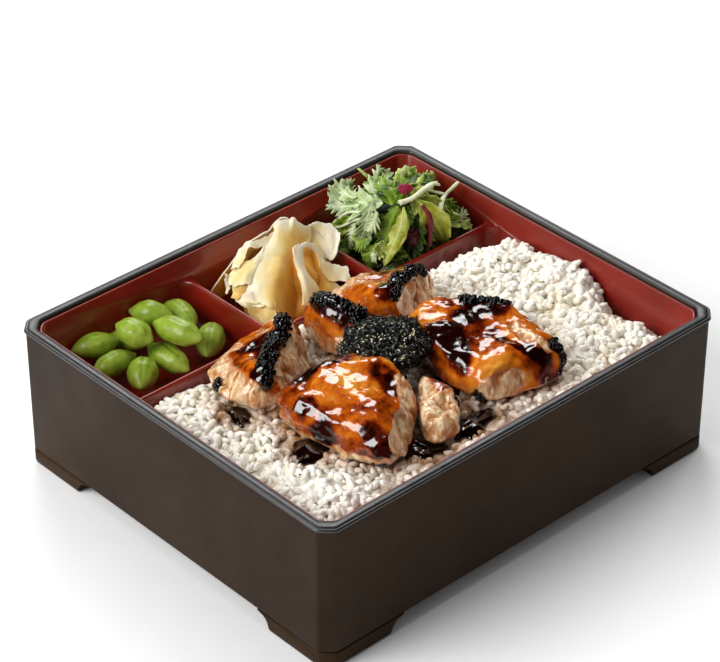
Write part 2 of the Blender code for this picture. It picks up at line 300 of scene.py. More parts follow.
# moulded outer box with a black rim, four feet and a red lacquered tray
boxLook = {
    "wall": ("2f2115", "39291a"), "rim": ("201e1f", "2b292a"), "tray": ("6b1308", "861e0f"),
    "rimDrop": 0.0021, "grainScale": 900,
    "shellCrease": 32, "footCrease": 35, "trayCrease": 38,     # degrees
}


def shellMaterial(name, codes, cloudScale, rough, spec):
    material, tree, shader = newMaterial(name, spec=spec)
    spot = objectSpot(tree)
    colour = ramp(tree, noiseValue(tree, spot, cloudScale, 3), (0.33, 0.67), codes)
    setSocket(tree, shader, "Base Color", colour)
    patchy = mixRange(tree, noiseValue(tree, spot, 60, 2), 0.3, 0.7, rough - 0.03, rough + 0.05)
    setSocket(tree, shader, "Roughness", patchy)
    addBump(tree, shader, noiseValue(tree, spot, boxLook["grainScale"], 2), 0.12, 0.0002)
    return material


def trayMaterial(codes):
    material, tree, shader = newMaterial("redLacquer", rough=0.32, coat=0.38, coatRough=0.12, spec=0.45)
    spot = objectSpot(tree)
    setSocket(tree, shader, "Base Color", ramp(tree, noiseValue(tree, spot, 30, 4), (0.32, 0.68), codes))
    first = addBump(tree, shader, noiseValue(tree, spot, 45, 2), 0.10, 0.001)
    addBump(tree, shader, noiseValue(tree, spot, 1200, 2), 0.06, 0.0002, first)
    return material


def smoothCopy(nodeName, name, material, crease):
    mesh = mergedCopy(nodeName)
    shadeSmooth(mesh)
    mesh.set_sharp_from_angle(angle=math.radians(crease))
    return addPiece(name, mesh, material, (nodeName,), smooth=False)


def buildBox(look):
    wallFinish = shellMaterial("mouldedBrown", look["wall"], 22, 0.46, 0.06)
    shell = smoothCopy("box_shell", "outerBox", wallFinish, look["shellCrease"])
    shell.data.materials.append(shellMaterial("blackRim", look["rim"], 160, 0.38, 0.75))
    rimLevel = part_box("box_shell")[1][2] - look["rimDrop"]
    for face in shell.data.polygons:
        face.material_index = int(face.center.z > rimLevel)
    for corner in ("front_left", "front_right", "back_right", "back_left"):
        nodeName = "foot_" + corner
        smoothCopy(nodeName, dotted(nodeName), wallFinish, look["footCrease"])
    smoothCopy("inner_tray", "redTray", trayMaterial(look["tray"]), look["trayCrease"])


buildBox(boxLook)
print("stage: box")

# pieces strewn over a carrier mesh: tilt is in radians, sink and rise are heights in metres
scatterInputs = {
    "Kinds": "Collection", "Finish": "Material", "Density": "Float", "Seed": "Int", "Smallest": "Float",
    "Largest": "Float", "Tilt": "Float", "Sink": "Float", "Rise": "Float",
}


def scatterTree():
    tree = bpy.data.node_groups.new("scatterOnSurface", "GeometryNodeTree")
    face = tree.interface
    face.new_socket("Geometry", in_out="INPUT", socket_type="NodeSocketGeometry")
    for name, kind in scatterInputs.items():
        face.new_socket(name, in_out="INPUT", socket_type="NodeSocket" + kind)
    face.new_socket("Geometry", in_out="OUTPUT", socket_type="NodeSocketGeometry")

    def put(kind, inputs=None, **settings):
        item = tree.nodes.new(kind)
        for name, value in settings.items():
            setattr(item, name, value)
        fillSockets(tree, item, inputs or {})
        return item.outputs

    def chance(low, high, seed, kind="FLOAT"):
        first = 2 if kind == "FLOAT" else 0     # plain numbers and vectors have sockets of their own
        inputs = {first: low, first + 1: high, "Seed": seed}
        return put("FunctionNodeRandomValue", inputs, data_type=kind)[1 if kind == "FLOAT" else 0]

    start = put("NodeGroupInput")
    # points thin out where the carrier's cover value falls
    cover = put("GeometryNodeInputNamedAttribute", {"Name": "cover"}, data_type="FLOAT")["Attribute"]
    density = put("ShaderNodeMath", {0: start["Density"], 1: cover}, operation="MULTIPLY")[0]
    spread = {"Mesh": start["Geometry"], "Density": density, "Seed": start["Seed"]}
    points = put("GeometryNodeDistributePointsOnFaces", spread)
    kinds = put("GeometryNodeCollectionInfo",
                {"Collection": start["Kinds"], "Separate Children": True, "Reset Children": True})
    size = chance(start["Smallest"], start["Largest"], 11)
    # each one is turned freely about its upright and tipped a little
    minus = put("ShaderNodeMath", {0: start["Tilt"], 1: -1.0}, operation="MULTIPLY")[0]
    low = put("ShaderNodeCombineXYZ", {0: minus, 1: minus, 2: 0.0})[0]
    high = put("ShaderNodeCombineXYZ", {0: start["Tilt"], 1: start["Tilt"], 2: math.tau})[0]
    turn = put("FunctionNodeEulerToRotation", {0: chance(low, high, 5, "FLOAT_VECTOR")})[0]
    both = put("FunctionNodeRotateRotation", {0: points["Rotation"], 1: turn}, rotation_space="LOCAL")[0]
    settled = {"Points": points["Points"], "Instance": kinds[0], "Pick Instance": True, "Rotation": both,
               "Scale": size}
    items = put("GeometryNodeInstanceOnPoints", settled)[0]
    lift = put("ShaderNodeCombineXYZ", {2: chance(start["Sink"], start["Rise"], 23)})[0]
    moved = put("GeometryNodeTranslateInstances",
                {"Instances": items, "Translation": lift, "Local Space": False})[0]
    real = put("GeometryNodeRealizeInstances", {"Geometry": moved})[0]
    skin = put("GeometryNodeSetMaterial", {"Geometry": real, "Material": start["Finish"]})[0]
    tree.links.new(skin, tree.nodes.new("NodeGroupOutput").inputs[0])
    return tree


scatterGroup = scatterTree()


def evaluated(thing, name):
    bpy.context.view_layer.update()
    graph = bpy.context.evaluated_depsgraph_get()
    mesh = bpy.data.meshes.new_from_object(thing.evaluated_get(graph), depsgraph=graph)
    mesh.name = name
    return mesh


def scatter(name, carrierMesh, kinds, material, values):
    shelf = bpy.data.collections.new(name + "Kinds")
    for index, mesh in enumerate(kinds):
        shelf.objects.link(bpy.data.objects.new(f"{name}Kind{index}", mesh))
    carrier = placed(name + "Carrier", carrierMesh)
    modifier = carrier.modifiers.new("scatter", "NODES")
    modifier.node_group = scatterGroup
    chosen = dict(values, Kinds=shelf, Finish=material)
    for item in scatterGroup.interface.items_tree:
        if item.in_out == "INPUT" and item.name in chosen:
            modifier[item.identifier] = chosen[item.name]
    mesh = evaluated(carrier, name)
    for old in list(shelf.objects):
        bpy.data.objects.remove(old, do_unlink=True)
    bpy.data.collections.remove(shelf)
    bpy.data.objects.remove(carrier, do_unlink=True)
    return mesh


def reshaped(mesh, name, *steps):
    thing = placed(name, mesh)
    for kind, settings in steps:
        modifier = thing.modifiers.new(kind.lower(), kind)
        for key, value in settings.items():
            setattr(modifier, key, value)
    made = evaluated(thing, name)
    bpy.data.objects.remove(thing, do_unlink=True)
    return made


def remeshed(mesh, voxel, name, relax):
    even = ("REMESH", {"mode": "VOXEL", "voxel_size": voxel})
    return reshaped(mesh, name, even, ("SMOOTH", {"iterations": relax}))


def thickened(mesh, thickness, name):
    return reshaped(mesh, name, ("SOLIDIFY", {"thickness": thickness, "offset": 0}))


lidRoom = 0.0030     # depth under the model's top in which high points are pressed together


def readPoints(mesh):
    points = np.empty(len(mesh.vertices) * 3)
    mesh.vertices.foreach_get("co", points)
    normals = np.empty(len(mesh.vertices) * 3)
    mesh.vertex_normals.foreach_get("vector", normals)
    return points.reshape(-1, 3), normals.reshape(-1, 3)


def writePoints(mesh, points):
    mesh.vertices.foreach_set("co", points.ravel())
    mesh.update()


def underTop(points):
    lid = cadBox[1][2] - lidRoom
    over = np.maximum(0, points[:, 2] - lid)
    points[:, 2] -= over - lidRoom * (1 - np.exp(-over / lidRoom))
    return points


def writeValues(mesh, **values):
    for name, value in values.items():
        layer = mesh.attributes.new(name, "FLOAT", "POINT")
        layer.data.foreach_set("value", np.asarray(value, dtype=np.float32).ravel())


def noiseAt(points, scale, seed=0.0):
    shift = Vector((seed, seed * 0.61, seed * 1.37))
    return np.array([noise.noise(Vector(p) + shift) for p in points * np.asarray(scale)])


def ease(value, low, high):
    t = np.clip((value - low) / (high - low), 0, 1)
    return t * t * (3 - 2 * t)


def lineDistance(points, line):
    best = np.full(len(points), np.inf)
    for a, b in zip(line, line[1:]):
        a, b = np.array(a), np.array(b)
        run = b - a
        t = np.clip((points - a) @ run / (run @ run), 0, 1)
        best = np.minimum(best, np.linalg.norm(points - a - t[:, None] * run, axis=1))
    return best


def bridge(bm, rows):
    around = len(rows[0])
    for low, high in zip(rows, rows[1:]):
        for k in range(around):
            bm.faces.new((low[k], low[(k + 1) % around], high[(k + 1) % around], high[k]))


def closedMesh(bm, name):
    bmesh.ops.recalc_face_normals(bm, faces=bm.faces)
    return finished(bm, name)


def turnedBody(spots, around, flat, bend=0.0):
    # rings of the given girths along x, closed by a point at each end
    bm = bmesh.new()
    angles = [math.tau * k / around for k in range(around)]
    rows = []
    for x, girth in spots[1:-1]:
        ring = [(x, girth * math.cos(a), girth * flat * math.sin(a) + bend * x * x) for a in angles]
        rows.append([bm.verts.new(point) for point in ring])
    first, last = (bm.verts.new((x, 0, bend * x ** 2)) for x, _ in (spots[0], spots[-1]))
    bridge(bm, rows)
    for k in range(around):
        after = (k + 1) % around
        bm.faces.new((rows[0][after], rows[0][k], first))
        bm.faces.new((rows[-1][k], rows[-1][after], last))
    return closedMesh(bm, "turned")


# glazed skin on top, torn pale meat below, charred edges
chickenLook = {
    "voxel": 0.00085, "relax": 2, "lump": 0.0016, "ridge": 0.0008, "knot": 0.0012, "fibre": 0.00075,
    "crease": 0.0051, "cutDepth": 0.80, "cutWaver": 0.0012, "bareCut": 0.92, "footLow": 0.001,
    "footHigh": 0.004, "charRise": 0.0003,
    # the meat's darkest tone is the crease colour: painted shade with some real browning
    "glaze": ("1a0301", "581403", "a04206", "cc6c12", "e09a3a"), "meat": ("8c4f20", "d2a06a", "f4dfb8"),
    "sauced": "b4601a", "browned": "ad5c17", "singed": "3d0f04", "char": "050404",
    "beads": {"Density": 430000.0, "Seed": 4, "Smallest": 0.000506, "Largest": 0.001242, "Tilt": 3.0,
              "Sink": -0.0003, "Rise": 0.0009},
}
# marks on each piece: how far one reaches, then the spots it runs through, all in metres
# hem is how low the glaze runs, as a share of the height; a cut is a spot on a torn face and its facing
chickenPieces = {
    "chicken_left": {
        "hem": 0.34, "cuts": (((-0.0500, 0.0040, 0.0795), (0.50, -0.72, 0.40)),),
        "dark": (
            (0.0062, (-0.0535, 0.0203, 0.0712), (-0.0492, 0.0128, 0.0784), (-0.0580, 0.0070, 0.0790)),
            (0.0050, (-0.0701, -0.0025, 0.0774)),
        ),
        "pale": (
            (0.0085, (-0.0700, 0.0230, 0.0660), (-0.0747, 0.0080, 0.0690), (-0.0735, -0.0060, 0.0673)),
            (0.0060, (-0.0560, 0.0300, 0.0670)),
        ),
        "char": (
            (0.0042, (-0.0350, 0.0195, 0.0815), (-0.0385, 0.0135, 0.0825)),
            (0.0048, (-0.0438, 0.0102, 0.0800), (-0.0527, 0.0052, 0.0808), (-0.0632, -0.0014, 0.0805)),
            (0.0032, (-0.0640, -0.0030, 0.0790), (-0.0676, -0.0081, 0.0737)),
            (0.0028, (-0.0742, 0.0181, 0.0632)),
        ),
    },
    "chicken_middle": {
        "hem": 0.26, "bareCut": 0.35, "cuts": (((-0.0140, 0.0060, 0.0835), (-0.80, -0.38, 0.42)),),
        "dark": (
            (0.0045, (-0.0200, 0.0160, 0.0830), (-0.0150, 0.0020, 0.0810)),
        ),
        "pale": (
            (0.0058, (-0.0185, 0.0030, 0.0640), (-0.0180, -0.0030, 0.0670)),
        ),
        "char": (
            (0.0045, (-0.0185, 0.0195, 0.0850), (-0.0141, 0.0106, 0.0865), (-0.0110, 0.0041, 0.0851),
             (-0.0083, -0.0029, 0.0808)),
        ),
    },
    "chicken_back": {
        "hem": 0.38, "cuts": (((0.0280, 0.0060, 0.0800), (0.30, -0.82, 0.42)),),
        "dark": (
            (0.0055, (0.0133, 0.0038, 0.0802), (0.0180, 0.0060, 0.0795)),
        ),
        "pale": (
            (0.0085, (0.0187, 0.0298, 0.0717), (0.0090, 0.0290, 0.0690)),
            (0.0030, (0.0200, 0.0150, 0.0790)),
        ),
        "char": (
            (0.0040, (0.0414, 0.0103, 0.0800), (0.0340, 0.0100, 0.0805), (0.0272, 0.0087, 0.0795)),
            (0.0034, (0.0250, 0.0080, 0.0790), (0.0172, 0.0014, 0.0783)),
            (0.0036, (0.0425, 0.0075, 0.0780)),
        ),
    },
    "chicken_right": {
        "hem": 0.05, "bareCut": 0.0, "cuts": (((0.0185, -0.0715, 0.0730), (-0.15, -0.88, 0.42)),),
        "dark": (
            (0.0060, (0.0072, -0.0332, 0.0786), (0.0140, -0.0376, 0.0798), (0.0085, -0.0465, 0.0778),
             (0.0045, -0.0545, 0.0745)),
            (0.0050, (0.0263, -0.0327, 0.0782), (0.0370, -0.0330, 0.0790), (0.0450, -0.0390, 0.0780)),
            (0.0036, (0.0288, -0.0562, 0.0775), (0.0310, -0.0684, 0.0765), (0.0370, -0.0763, 0.0733)),
        ),
        "pale": (
            (0.0040, (0.0410, -0.0520, 0.0769), (0.0395, -0.0641, 0.0773), (0.0400, -0.0715, 0.0756)),
            (0.0072, (0.0080, -0.0700, 0.0680), (0.0185, -0.0745, 0.0690)),
        ),
        "char": (
            (0.0038, (0.0371, -0.0249, 0.0790), (0.0440, -0.0290, 0.0785)),
            (0.0062, (0.0486, -0.0345, 0.0772)),
            (0.0044, (0.0462, -0.0715, 0.0735), (0.0478, -0.0755, 0.0680), (0.0440, -0.0785, 0.0630)),
            (0.0040, (0.0035, -0.0660, 0.0620)),
        ),
    },
    "chicken_front": {
        "hem": 0.18, "cuts": (((-0.0350, -0.0610, 0.0745), (0.45, -0.78, 0.40)),),
        "dark": (
            (0.0070, (-0.0560, -0.0160, 0.0770), (-0.0495, -0.0168, 0.0792), (-0.0433, -0.0196, 0.0814),
             (-0.0379, -0.0222, 0.0813)),
            (0.0070, (-0.0317, -0.0442, 0.0812), (-0.0328, -0.0525, 0.0786)),
            (0.0060, (-0.0690, -0.0346, 0.0777)),
            (0.0065, (-0.0696, -0.0461, 0.0694)),
            (0.0055, (-0.0602, -0.0668, 0.0764), (-0.0590, -0.0755, 0.0700)),
        ),
        "pale": (
            (0.0060, (-0.0262, -0.0500, 0.0760), (-0.0365, -0.0646, 0.0745), (-0.0448, -0.0728, 0.0680)),
            (0.0055, (-0.0690, -0.0560, 0.0615), (-0.0640, -0.0690, 0.0620)),
            (0.0062, (-0.0575, -0.0715, 0.0625), (-0.0490, -0.0700, 0.0640)),
        ),
        "char": (
            (0.0036, (-0.0600, -0.0720, 0.0612)),
            (0.0032, (-0.0500, -0.0722, 0.0612)),
            (0.0030, (-0.0222, -0.0400, 0.0760), (-0.0235, -0.0460, 0.0740)),
        ),
    },
    "chicken_small": {
        "hem": 0.95, "cuts": (),
        "dark": (),
        "gold": (
            (0.0050, (-0.0116, -0.0611, 0.0725), (-0.0100, -0.0530, 0.0720)),
            (0.0040, (-0.0235, -0.0779, 0.0641)),
        ),
        "pale": (
            (0.0120, (-0.0250, -0.0690, 0.0700), (-0.0160, -0.0600, 0.0710)),
        ),
        "char": (
            (0.0040, (-0.0070, -0.0665, 0.0665)),
            (0.0036, (-0.0140, -0.0755, 0.0635)),
            (0.0036, (-0.0120, -0.0480, 0.0700)),
        ),
    },
}


def nearTo(points, marks, inner=0.55, outer=1.25):
    share = np.zeros(len(points))
    for reach, *line in marks:
        if len(line) == 1:
            line = [line[0], tuple(np.array(line[0]) + 1e-5)]     # a lone spot is a very short line
        share = np.maximum(share, 1 - ease(lineDistance(points, line), reach * inner, reach * outer))
    return share


def chickenMaterial(look):
    material, tree, shader = newMaterial("glazedMeat", coat=0.9, coatRough=0.04, scatter=0.10,
                                         scatterReach=0.003, scatterRadius=(1.0, 0.6, 0.35))
    spot = objectSpot(tree)
    skin, char, fold, dark = (attributeValue(tree, name) for name in ("skin", "char", "fold", "dark"))
    fine = noiseValue(tree, spot, 420, 4, 0.6)
    fibreSpot = objectSpot(tree, (330, 330, 100), (0.5, 0.3, 0))
    strand = mixRange(tree, noiseValue(tree, fibreSpot, 1, 3, 0.55, 0.6), 0.36, 0.64, 0, 1)
    # meat is darker in its creases: painted shade with some real browning
    meatTone = weighted(tree, (strand, 0.34), (fold, 0.46), (noiseValue(tree, spot, 90, 3), 0.20))
    meat = ramp(tree, meatTone, (0.26, 0.43, 0.62), look["meat"])
    pool = noiseValue(tree, spot, 46, 3, 0.5, 0.7)
    streak = noiseValue(tree, spot, 130, 3, 0.55, 1.0)
    depth = weighted(tree, (pool, 0.80), (streak, 0.20), (centred(tree, fine), 0.22))
    depth = calc(tree, "SUBTRACT", depth, times(tree, dark, 0.20))
    glaze = ramp(tree, depth, (0.31, 0.39, 0.47, 0.56, 0.68), look["glaze"])
    ragged = centred(tree, noiseValue(tree, spot, 140, 4, 0.6, 0.8))
    edge = calc(tree, "ADD", skin, times(tree, ragged, 0.9))
    cover = mixRange(tree, edge, 0.38, 0.60, 0, 1)
    # sauce browns the meat close to the glaze, and in patches further down
    meat = blendColours(tree, mixRange(tree, edge, 0.0, 0.42, 0, 0.85), meat, look["sauced"])
    browned = mixRange(tree, noiseValue(tree, spot, 125, 4, 0.65, 0.5), 0.50, 0.64, 0, 0.75)
    meat = blendColours(tree, browned, meat, look["browned"])
    body = blendColours(tree, cover, meat, glaze)
    burn = calc(tree, "ADD", char, times(tree, centred(tree, fine), 0.8))
    body = blendColours(tree, mixRange(tree, burn, 0.10, 0.42, 0, 0.85), body, look["singed"])
    burnt = blendColours(tree, mixRange(tree, burn, 0.40, 0.55, 0, 1), body, look["char"])
    setSocket(tree, shader, "Base Color", burnt)
    setSocket(tree, shader, "Roughness", mixRange(tree, cover, 0, 1, 0.36, 0.15))
    first = addBump(tree, shader, calc(tree, "ADD", streak, times(tree, fine, 0.12)), 0.26, 0.0012)
    addBump(tree, shader, strand, mixRange(tree, cover, 0, 1, 0.4, 0.02), 0.0005, first)
    return material


def charMaterial():
    material, tree, shader = newMaterial("charCrust", coat=1.0, coatRough=0.03, rough=0.7, spec=0.0)
    spot = objectSpot(tree)
    colour = ramp(tree, noiseValue(tree, spot, 500, 3), (0.35, 0.7), ("010101", "080506"))
    setSocket(tree, shader, "Base Color", colour)
    addBump(tree, shader, noiseValue(tree, spot, 700, 2), 0.15, 0.0003)
    return material


def charBead(seed):
    bm = bmesh.new()
    bmesh.ops.create_icosphere(bm, subdivisions=2, radius=1)
    for vert in bm.verts:
        vert.co *= 1 + 0.28 * noise.noise(vert.co * 1.6 + Vector((seed, 0, 0)))
    mesh = finished(bm, "bead")
    shadeSmooth(mesh)
    return mesh


def cutAway(points, spec, look, seed):
    # flattens what stands beyond each torn face and says how far a point is on one
    cut = np.zeros(len(points))
    for spot, facing in spec["cuts"]:
        facing = np.array(facing) / np.linalg.norm(facing)
        beyond = (points - np.array(spot)) @ facing - look["cutWaver"] * noiseAt(points, 110, seed + 9)
        points -= facing * (np.maximum(0, beyond) * look["cutDepth"])[:, None]
        cut = np.maximum(cut, ease(beyond, -0.0002, 0.0014))
    return cut


def buildChicken(nodeName, spec, look, material, seed):
    mesh = remeshed(mergedCopy(nodeName), look["voxel"], dotted(nodeName), look["relax"])
    points, normals = readPoints(mesh)
    top, base = points[:, 2].max(), points[:, 2].min()
    lifted = ease(points[:, 2], base + look["footLow"], base + look["footHigh"])
    lumps = noiseAt(points, 75, seed) + 0.55 * noiseAt(points, 150, seed + 3)
    lumps = lumps + 0.22 * noiseAt(points, 330, seed + 5)
    ridges = 1 - 2.2 * np.abs(noiseAt(points, 62, seed + 50))
    points += normals * ((lumps * look["lump"] + ridges * look["ridge"]) * lifted)[:, None]
    cut = cutAway(points, spec, look, seed)
    pale, dark, burnt, gold = (nearTo(points, spec.get(key, ())) for key in ("pale", "dark", "char", "gold"))
    height = (points[:, 2] - base) / (top - base)
    ragged = height + 0.16 * noiseAt(points, 120, seed + 20)
    skin = ease(ragged, spec["hem"] - 0.10, spec["hem"] + 0.22)
    skin = skin * (1 - spec.get("bareCut", look["bareCut"]) * cut) * (1 - 0.95 * pale)
    skin = np.maximum(skin, 0.55 * gold)
    # torn meat: soft folds with creases between them and a faint grain; the creases are also painted darker,
    # which is painted shade with some real browning along them
    strand = noiseAt(points, (260, 260, 90), seed + 31)
    creases = 0.35 - np.abs(noiseAt(points, (95, 95, 70), seed + 41)) * 2.0
    creases = np.minimum(creases, 0.12 - 0.9 * np.abs(noiseAt(points, 150, seed + 45)) + 0.2)
    creases = np.maximum(0, creases)
    bare = (1 - skin) * lifted
    fold = np.clip(0.55 + bare * (0.25 * strand - 1.1 * creases), 0, 1)
    writePoints(mesh, points)
    points, normals = readPoints(mesh)
    knots = noiseAt(points, 125, seed + 70)
    push = bare * (knots * look["knot"] + strand * look["fibre"] - creases * look["crease"])
    points += normals * (push + burnt * look["charRise"])[:, None]
    points[:, 2] = np.maximum(points[:, 2], base)
    writePoints(mesh, points)
    writeValues(mesh, skin=skin, char=burnt, fold=fold, dark=dark)
    addPiece(dotted(nodeName), mesh, material, (nodeName,))
    crust = mesh.copy()
    ragged = burnt + 0.55 * noiseAt(points, 130, seed + 60) + 0.30 * noiseAt(points, 320, seed + 61)
    writeValues(crust, cover=ease(ragged, 0.25, 0.62) * ease(burnt, 0.10, 0.30))
    return crust


chickenFinish = chickenMaterial(chickenLook)
charFinish = charMaterial()
beadKinds = [charBead(seed) for seed in (1.0, 5.0, 9.0)]
crusts = []
for index, (nodeName, spec) in enumerate(chickenPieces.items()):
    crusts.append(buildChicken(nodeName, spec, chickenLook, chickenFinish, 3.7 + 6.1 * index))
for nodeName, crust in zip(chickenPieces, crusts):
    beads = scatter("charBeads", crust, beadKinds, charFinish, chickenLook["beads"])
    writePoints(beads, underTop(readPoints(beads)[0]))
    addPiece(dotted(nodeName.replace("chicken", "charCrust")), beads, charFinish)
print("stage: chicken")

# a clumpy bed of rice with loose grains pressed into it
riceLook = {
    "voxel": 0.0015, "relax": 2, "sink": 0.0027, "clump": 0.0031, "inset": 0.004, "headroom": 0.0032,
    "poolMargin": 1.28, "usualTop": 0.056, "grainLong": 0.0032, "grainGirth": 0.00175,
    "grainKinds": ((1.0, 1.0, 8), (0.9, 1.08, -14), (1.06, 0.94, 20)),     # shares of size, and bend
    "grains": {"Density": 118000.0, "Seed": 7, "Smallest": 0.85, "Largest": 1.12, "Tilt": 0.80,
               "Sink": -0.0002, "Rise": 0.0022},
    "specks": {"Density": 2600.0, "Seed": 15, "Smallest": 0.00022, "Largest": 0.00048, "Tilt": 3.0,
               "Sink": 0.0016, "Rise": 0.0030},
    # the tone after the three plain ones is painted shade for the low places between clumps
    "tones": ("f3e7cb", "fbf5e8", "fcf9f0"), "hollowShadeTone": "f0e0b8", "stainAndShadeTone": "9c6a30",
}
# pools of sauce: middle, half length, half width and turn in radians
puddles = (
    ((-0.070, -0.040), 0.0105, 0.0072, 0.5),
    ((-0.033, -0.0720), 0.0110, 0.0066, 2.6),
    ((-0.0775, 0.001), 0.0080, 0.0046, 1.2),
    ((-0.006, -0.0745), 0.0120, 0.0058, 0.2),
    ((0.008, -0.044), 0.0115, 0.0072, 0.9),
)


def riceMaterial(look, name, glow):
    material, tree, shader = newMaterial(name, rough=0.46, scatter=glow, scatterReach=0.0009,
                                         scatterRadius=(0.80, 0.90, 1.0), spec=0.28)
    spot = objectSpot(tree)
    tone = weighted(tree, (noiseValue(tree, spot, 70, 3), 0.55), (noiseValue(tree, spot, 340, 2), 0.45))
    plain = ramp(tree, tone, (0.30, 0.44, 0.70), look["tones"])
    # low places between the clumps are painted a warmer cream: painted shade
    low = times(tree, attributeValue(tree, "depth"), 0.35)
    plain = blendColours(tree, low, plain, look["hollowShadeTone"])
    patchy = mixRange(tree, noiseValue(tree, spot, 150, 3), 0.36, 0.60, 0.35, 0.95)
    # browner rice by the chicken: sauce stain, and also painted shade
    stain = calc(tree, "MINIMUM", times(tree, attributeValue(tree, "stain"), patchy), 1.0)
    setSocket(tree, shader, "Base Color", blendColours(tree, stain, plain, look["stainAndShadeTone"]))
    addBump(tree, shader, noiseValue(tree, spot, 500, 2), 0.10, 0.0004)
    return material


def riceGrain(length, girth, bend):
    spots = [(-1.0, 0), (-0.93, 0.44), (-0.66, 0.82), (-0.10, 1.0), (0.52, 0.92), (0.88, 0.56), (1.0, 0)]
    mesh = turnedBody([(a * length, b * girth) for a, b in spots], 6, 0.84, bend)
    shadeSmooth(mesh)
    return mesh


def treeOf(*nodeNames):
    bm = bmesh.new()
    for nodeName in nodeNames:
        bm.from_mesh(frame["nodes"][nodeName].data)
    tree = BVHTree.FromBMesh(bm)
    bm.free()
    return tree


def openSky(points, up, headroom):
    # grains are left out where chicken or nori lies close above the rice
    above = treeOf(*chickenPieces, "nori_heap")
    cover = np.zeros(len(points))
    for index, (point, share) in enumerate(zip(points, up)):
        if share > 0.02:
            hit = above.ray_cast(Vector(point), Vector((0, 0, 1)))
            cover[index] = share if hit[0] is None or hit[3] > headroom else 0.0
    return cover


def soaked(points):
    # sauce soaks in beside the chicken and round each pool; the browning beside the chicken is also painted
    # shade under its edges
    meat = treeOf(*chickenPieces)
    farOff = 0.02
    close = np.array([meat.find_nearest(Vector(p), farOff)[3] or farOff for p in points])
    stain = 1 - ease(close + 0.0024 * noiseAt(points, 90, 14), 0.0034, 0.0088)
    ragged = 0.35 * noiseAt(points, 130, 4)
    for middle, long, _, _ in puddles:
        x, y = (points[:, :2] - middle).T
        stain = np.maximum(stain, 1 - ease(np.hypot(x, y) / (long + 0.003) + ragged, 0.8, 1.6))
    return stain


def clearOfPools(points, margin):
    clear = np.ones(len(points))
    for middle, long, wide, turn in puddles:
        x, y = (points[:, :2] - middle).T
        along = x * math.cos(turn) + y * math.sin(turn)
        across = y * math.cos(turn) - x * math.sin(turn)
        clear *= np.hypot(along / long, across / wide) > margin
    return clear


def buildRice(look):
    mesh = remeshed(mergedCopy("rice"), look["voxel"], "rice.bed", look["relax"])
    points, normals = readPoints(mesh)
    up = ease(normals[:, 2], 0.1, 0.6)
    lumps = noiseAt(points, 42, 2) + 0.8 * noiseAt(points, 105, 8) + 0.45 * noiseAt(points, 210, 12)
    points[:, 2] -= up * (look["sink"] - lumps * look["clump"])
    points[:, :2] *= 1 - look["inset"]
    writePoints(mesh, points)
    cover = openSky(points, up, look["headroom"]) * clearOfPools(points, look["poolMargin"])
    # depth marks the low places between clumps, which the finish paints as shade
    writeValues(mesh, cover=cover, stain=soaked(points), depth=ease(-lumps, 0.1, 0.9))
    finish = riceMaterial(look, "steamedRice", 0.50)
    addPiece("rice.bed", mesh, riceMaterial(look, "packedRice", 0.0), ("rice",))
    kinds = [riceGrain(look["grainLong"] * k, look["grainGirth"] * w, b) for k, w, b in look["grainKinds"]]
    grains = scatter("looseGrains", mesh.copy(), kinds, finish, look["grains"])
    addPiece("rice.grains", grains, finish)
    specks = scatter("specks", mesh.copy(), [charBead(3.0)], charFinish, look["specks"])
    addPiece("rice.specks", specks, charFinish)
    spots, faces = [v.co.copy() for v in mesh.vertices], [tuple(p.vertices) for p in mesh.polygons]
    return BVHTree.FromPolygons(spots, faces)


riceTree = buildRice(riceLook)


def riceTop(x, y):
    over = cadBox[1][2] + 0.1
    hit = riceTree.ray_cast(Vector((x, y, over)), Vector((0, 0, -1)))
    return hit[0].z if hit[0] else riceLook["usualTop"]


print("stage: rice")

# sauce that ran off the chicken on to the rice
sauceLook = {
    "around": 40, "steps": 9, "lift": 0.0008, "dome": 0.0016, "skirt": 0.0035, "settle": 0.75,
    "tones": ("090201", "160402", "2e0b04"),
}


def sauceMaterial(look):
    material, tree, shader = newMaterial("darkSauce", rough=0.12, coat=0.9, coatRough=0.04, spec=0.55)
    spot = objectSpot(tree)
    colour = ramp(tree, noiseValue(tree, spot, 210, 3), (0.35, 0.6, 0.8), look["tones"])
    setSocket(tree, shader, "Base Color", colour)
    addBump(tree, shader, noiseValue(tree, spot, 300, 2), 0.2, 0.0006)
    return material


def poolEdge(angle, index):
    broad = noise.noise(Vector((math.cos(angle) * 1.6, math.sin(angle) * 1.6, index * 3.1)))
    fine = noise.noise(Vector((math.cos(angle) * 5, math.sin(angle) * 5, index)))
    return 1 + 0.45 * broad + 0.22 * fine


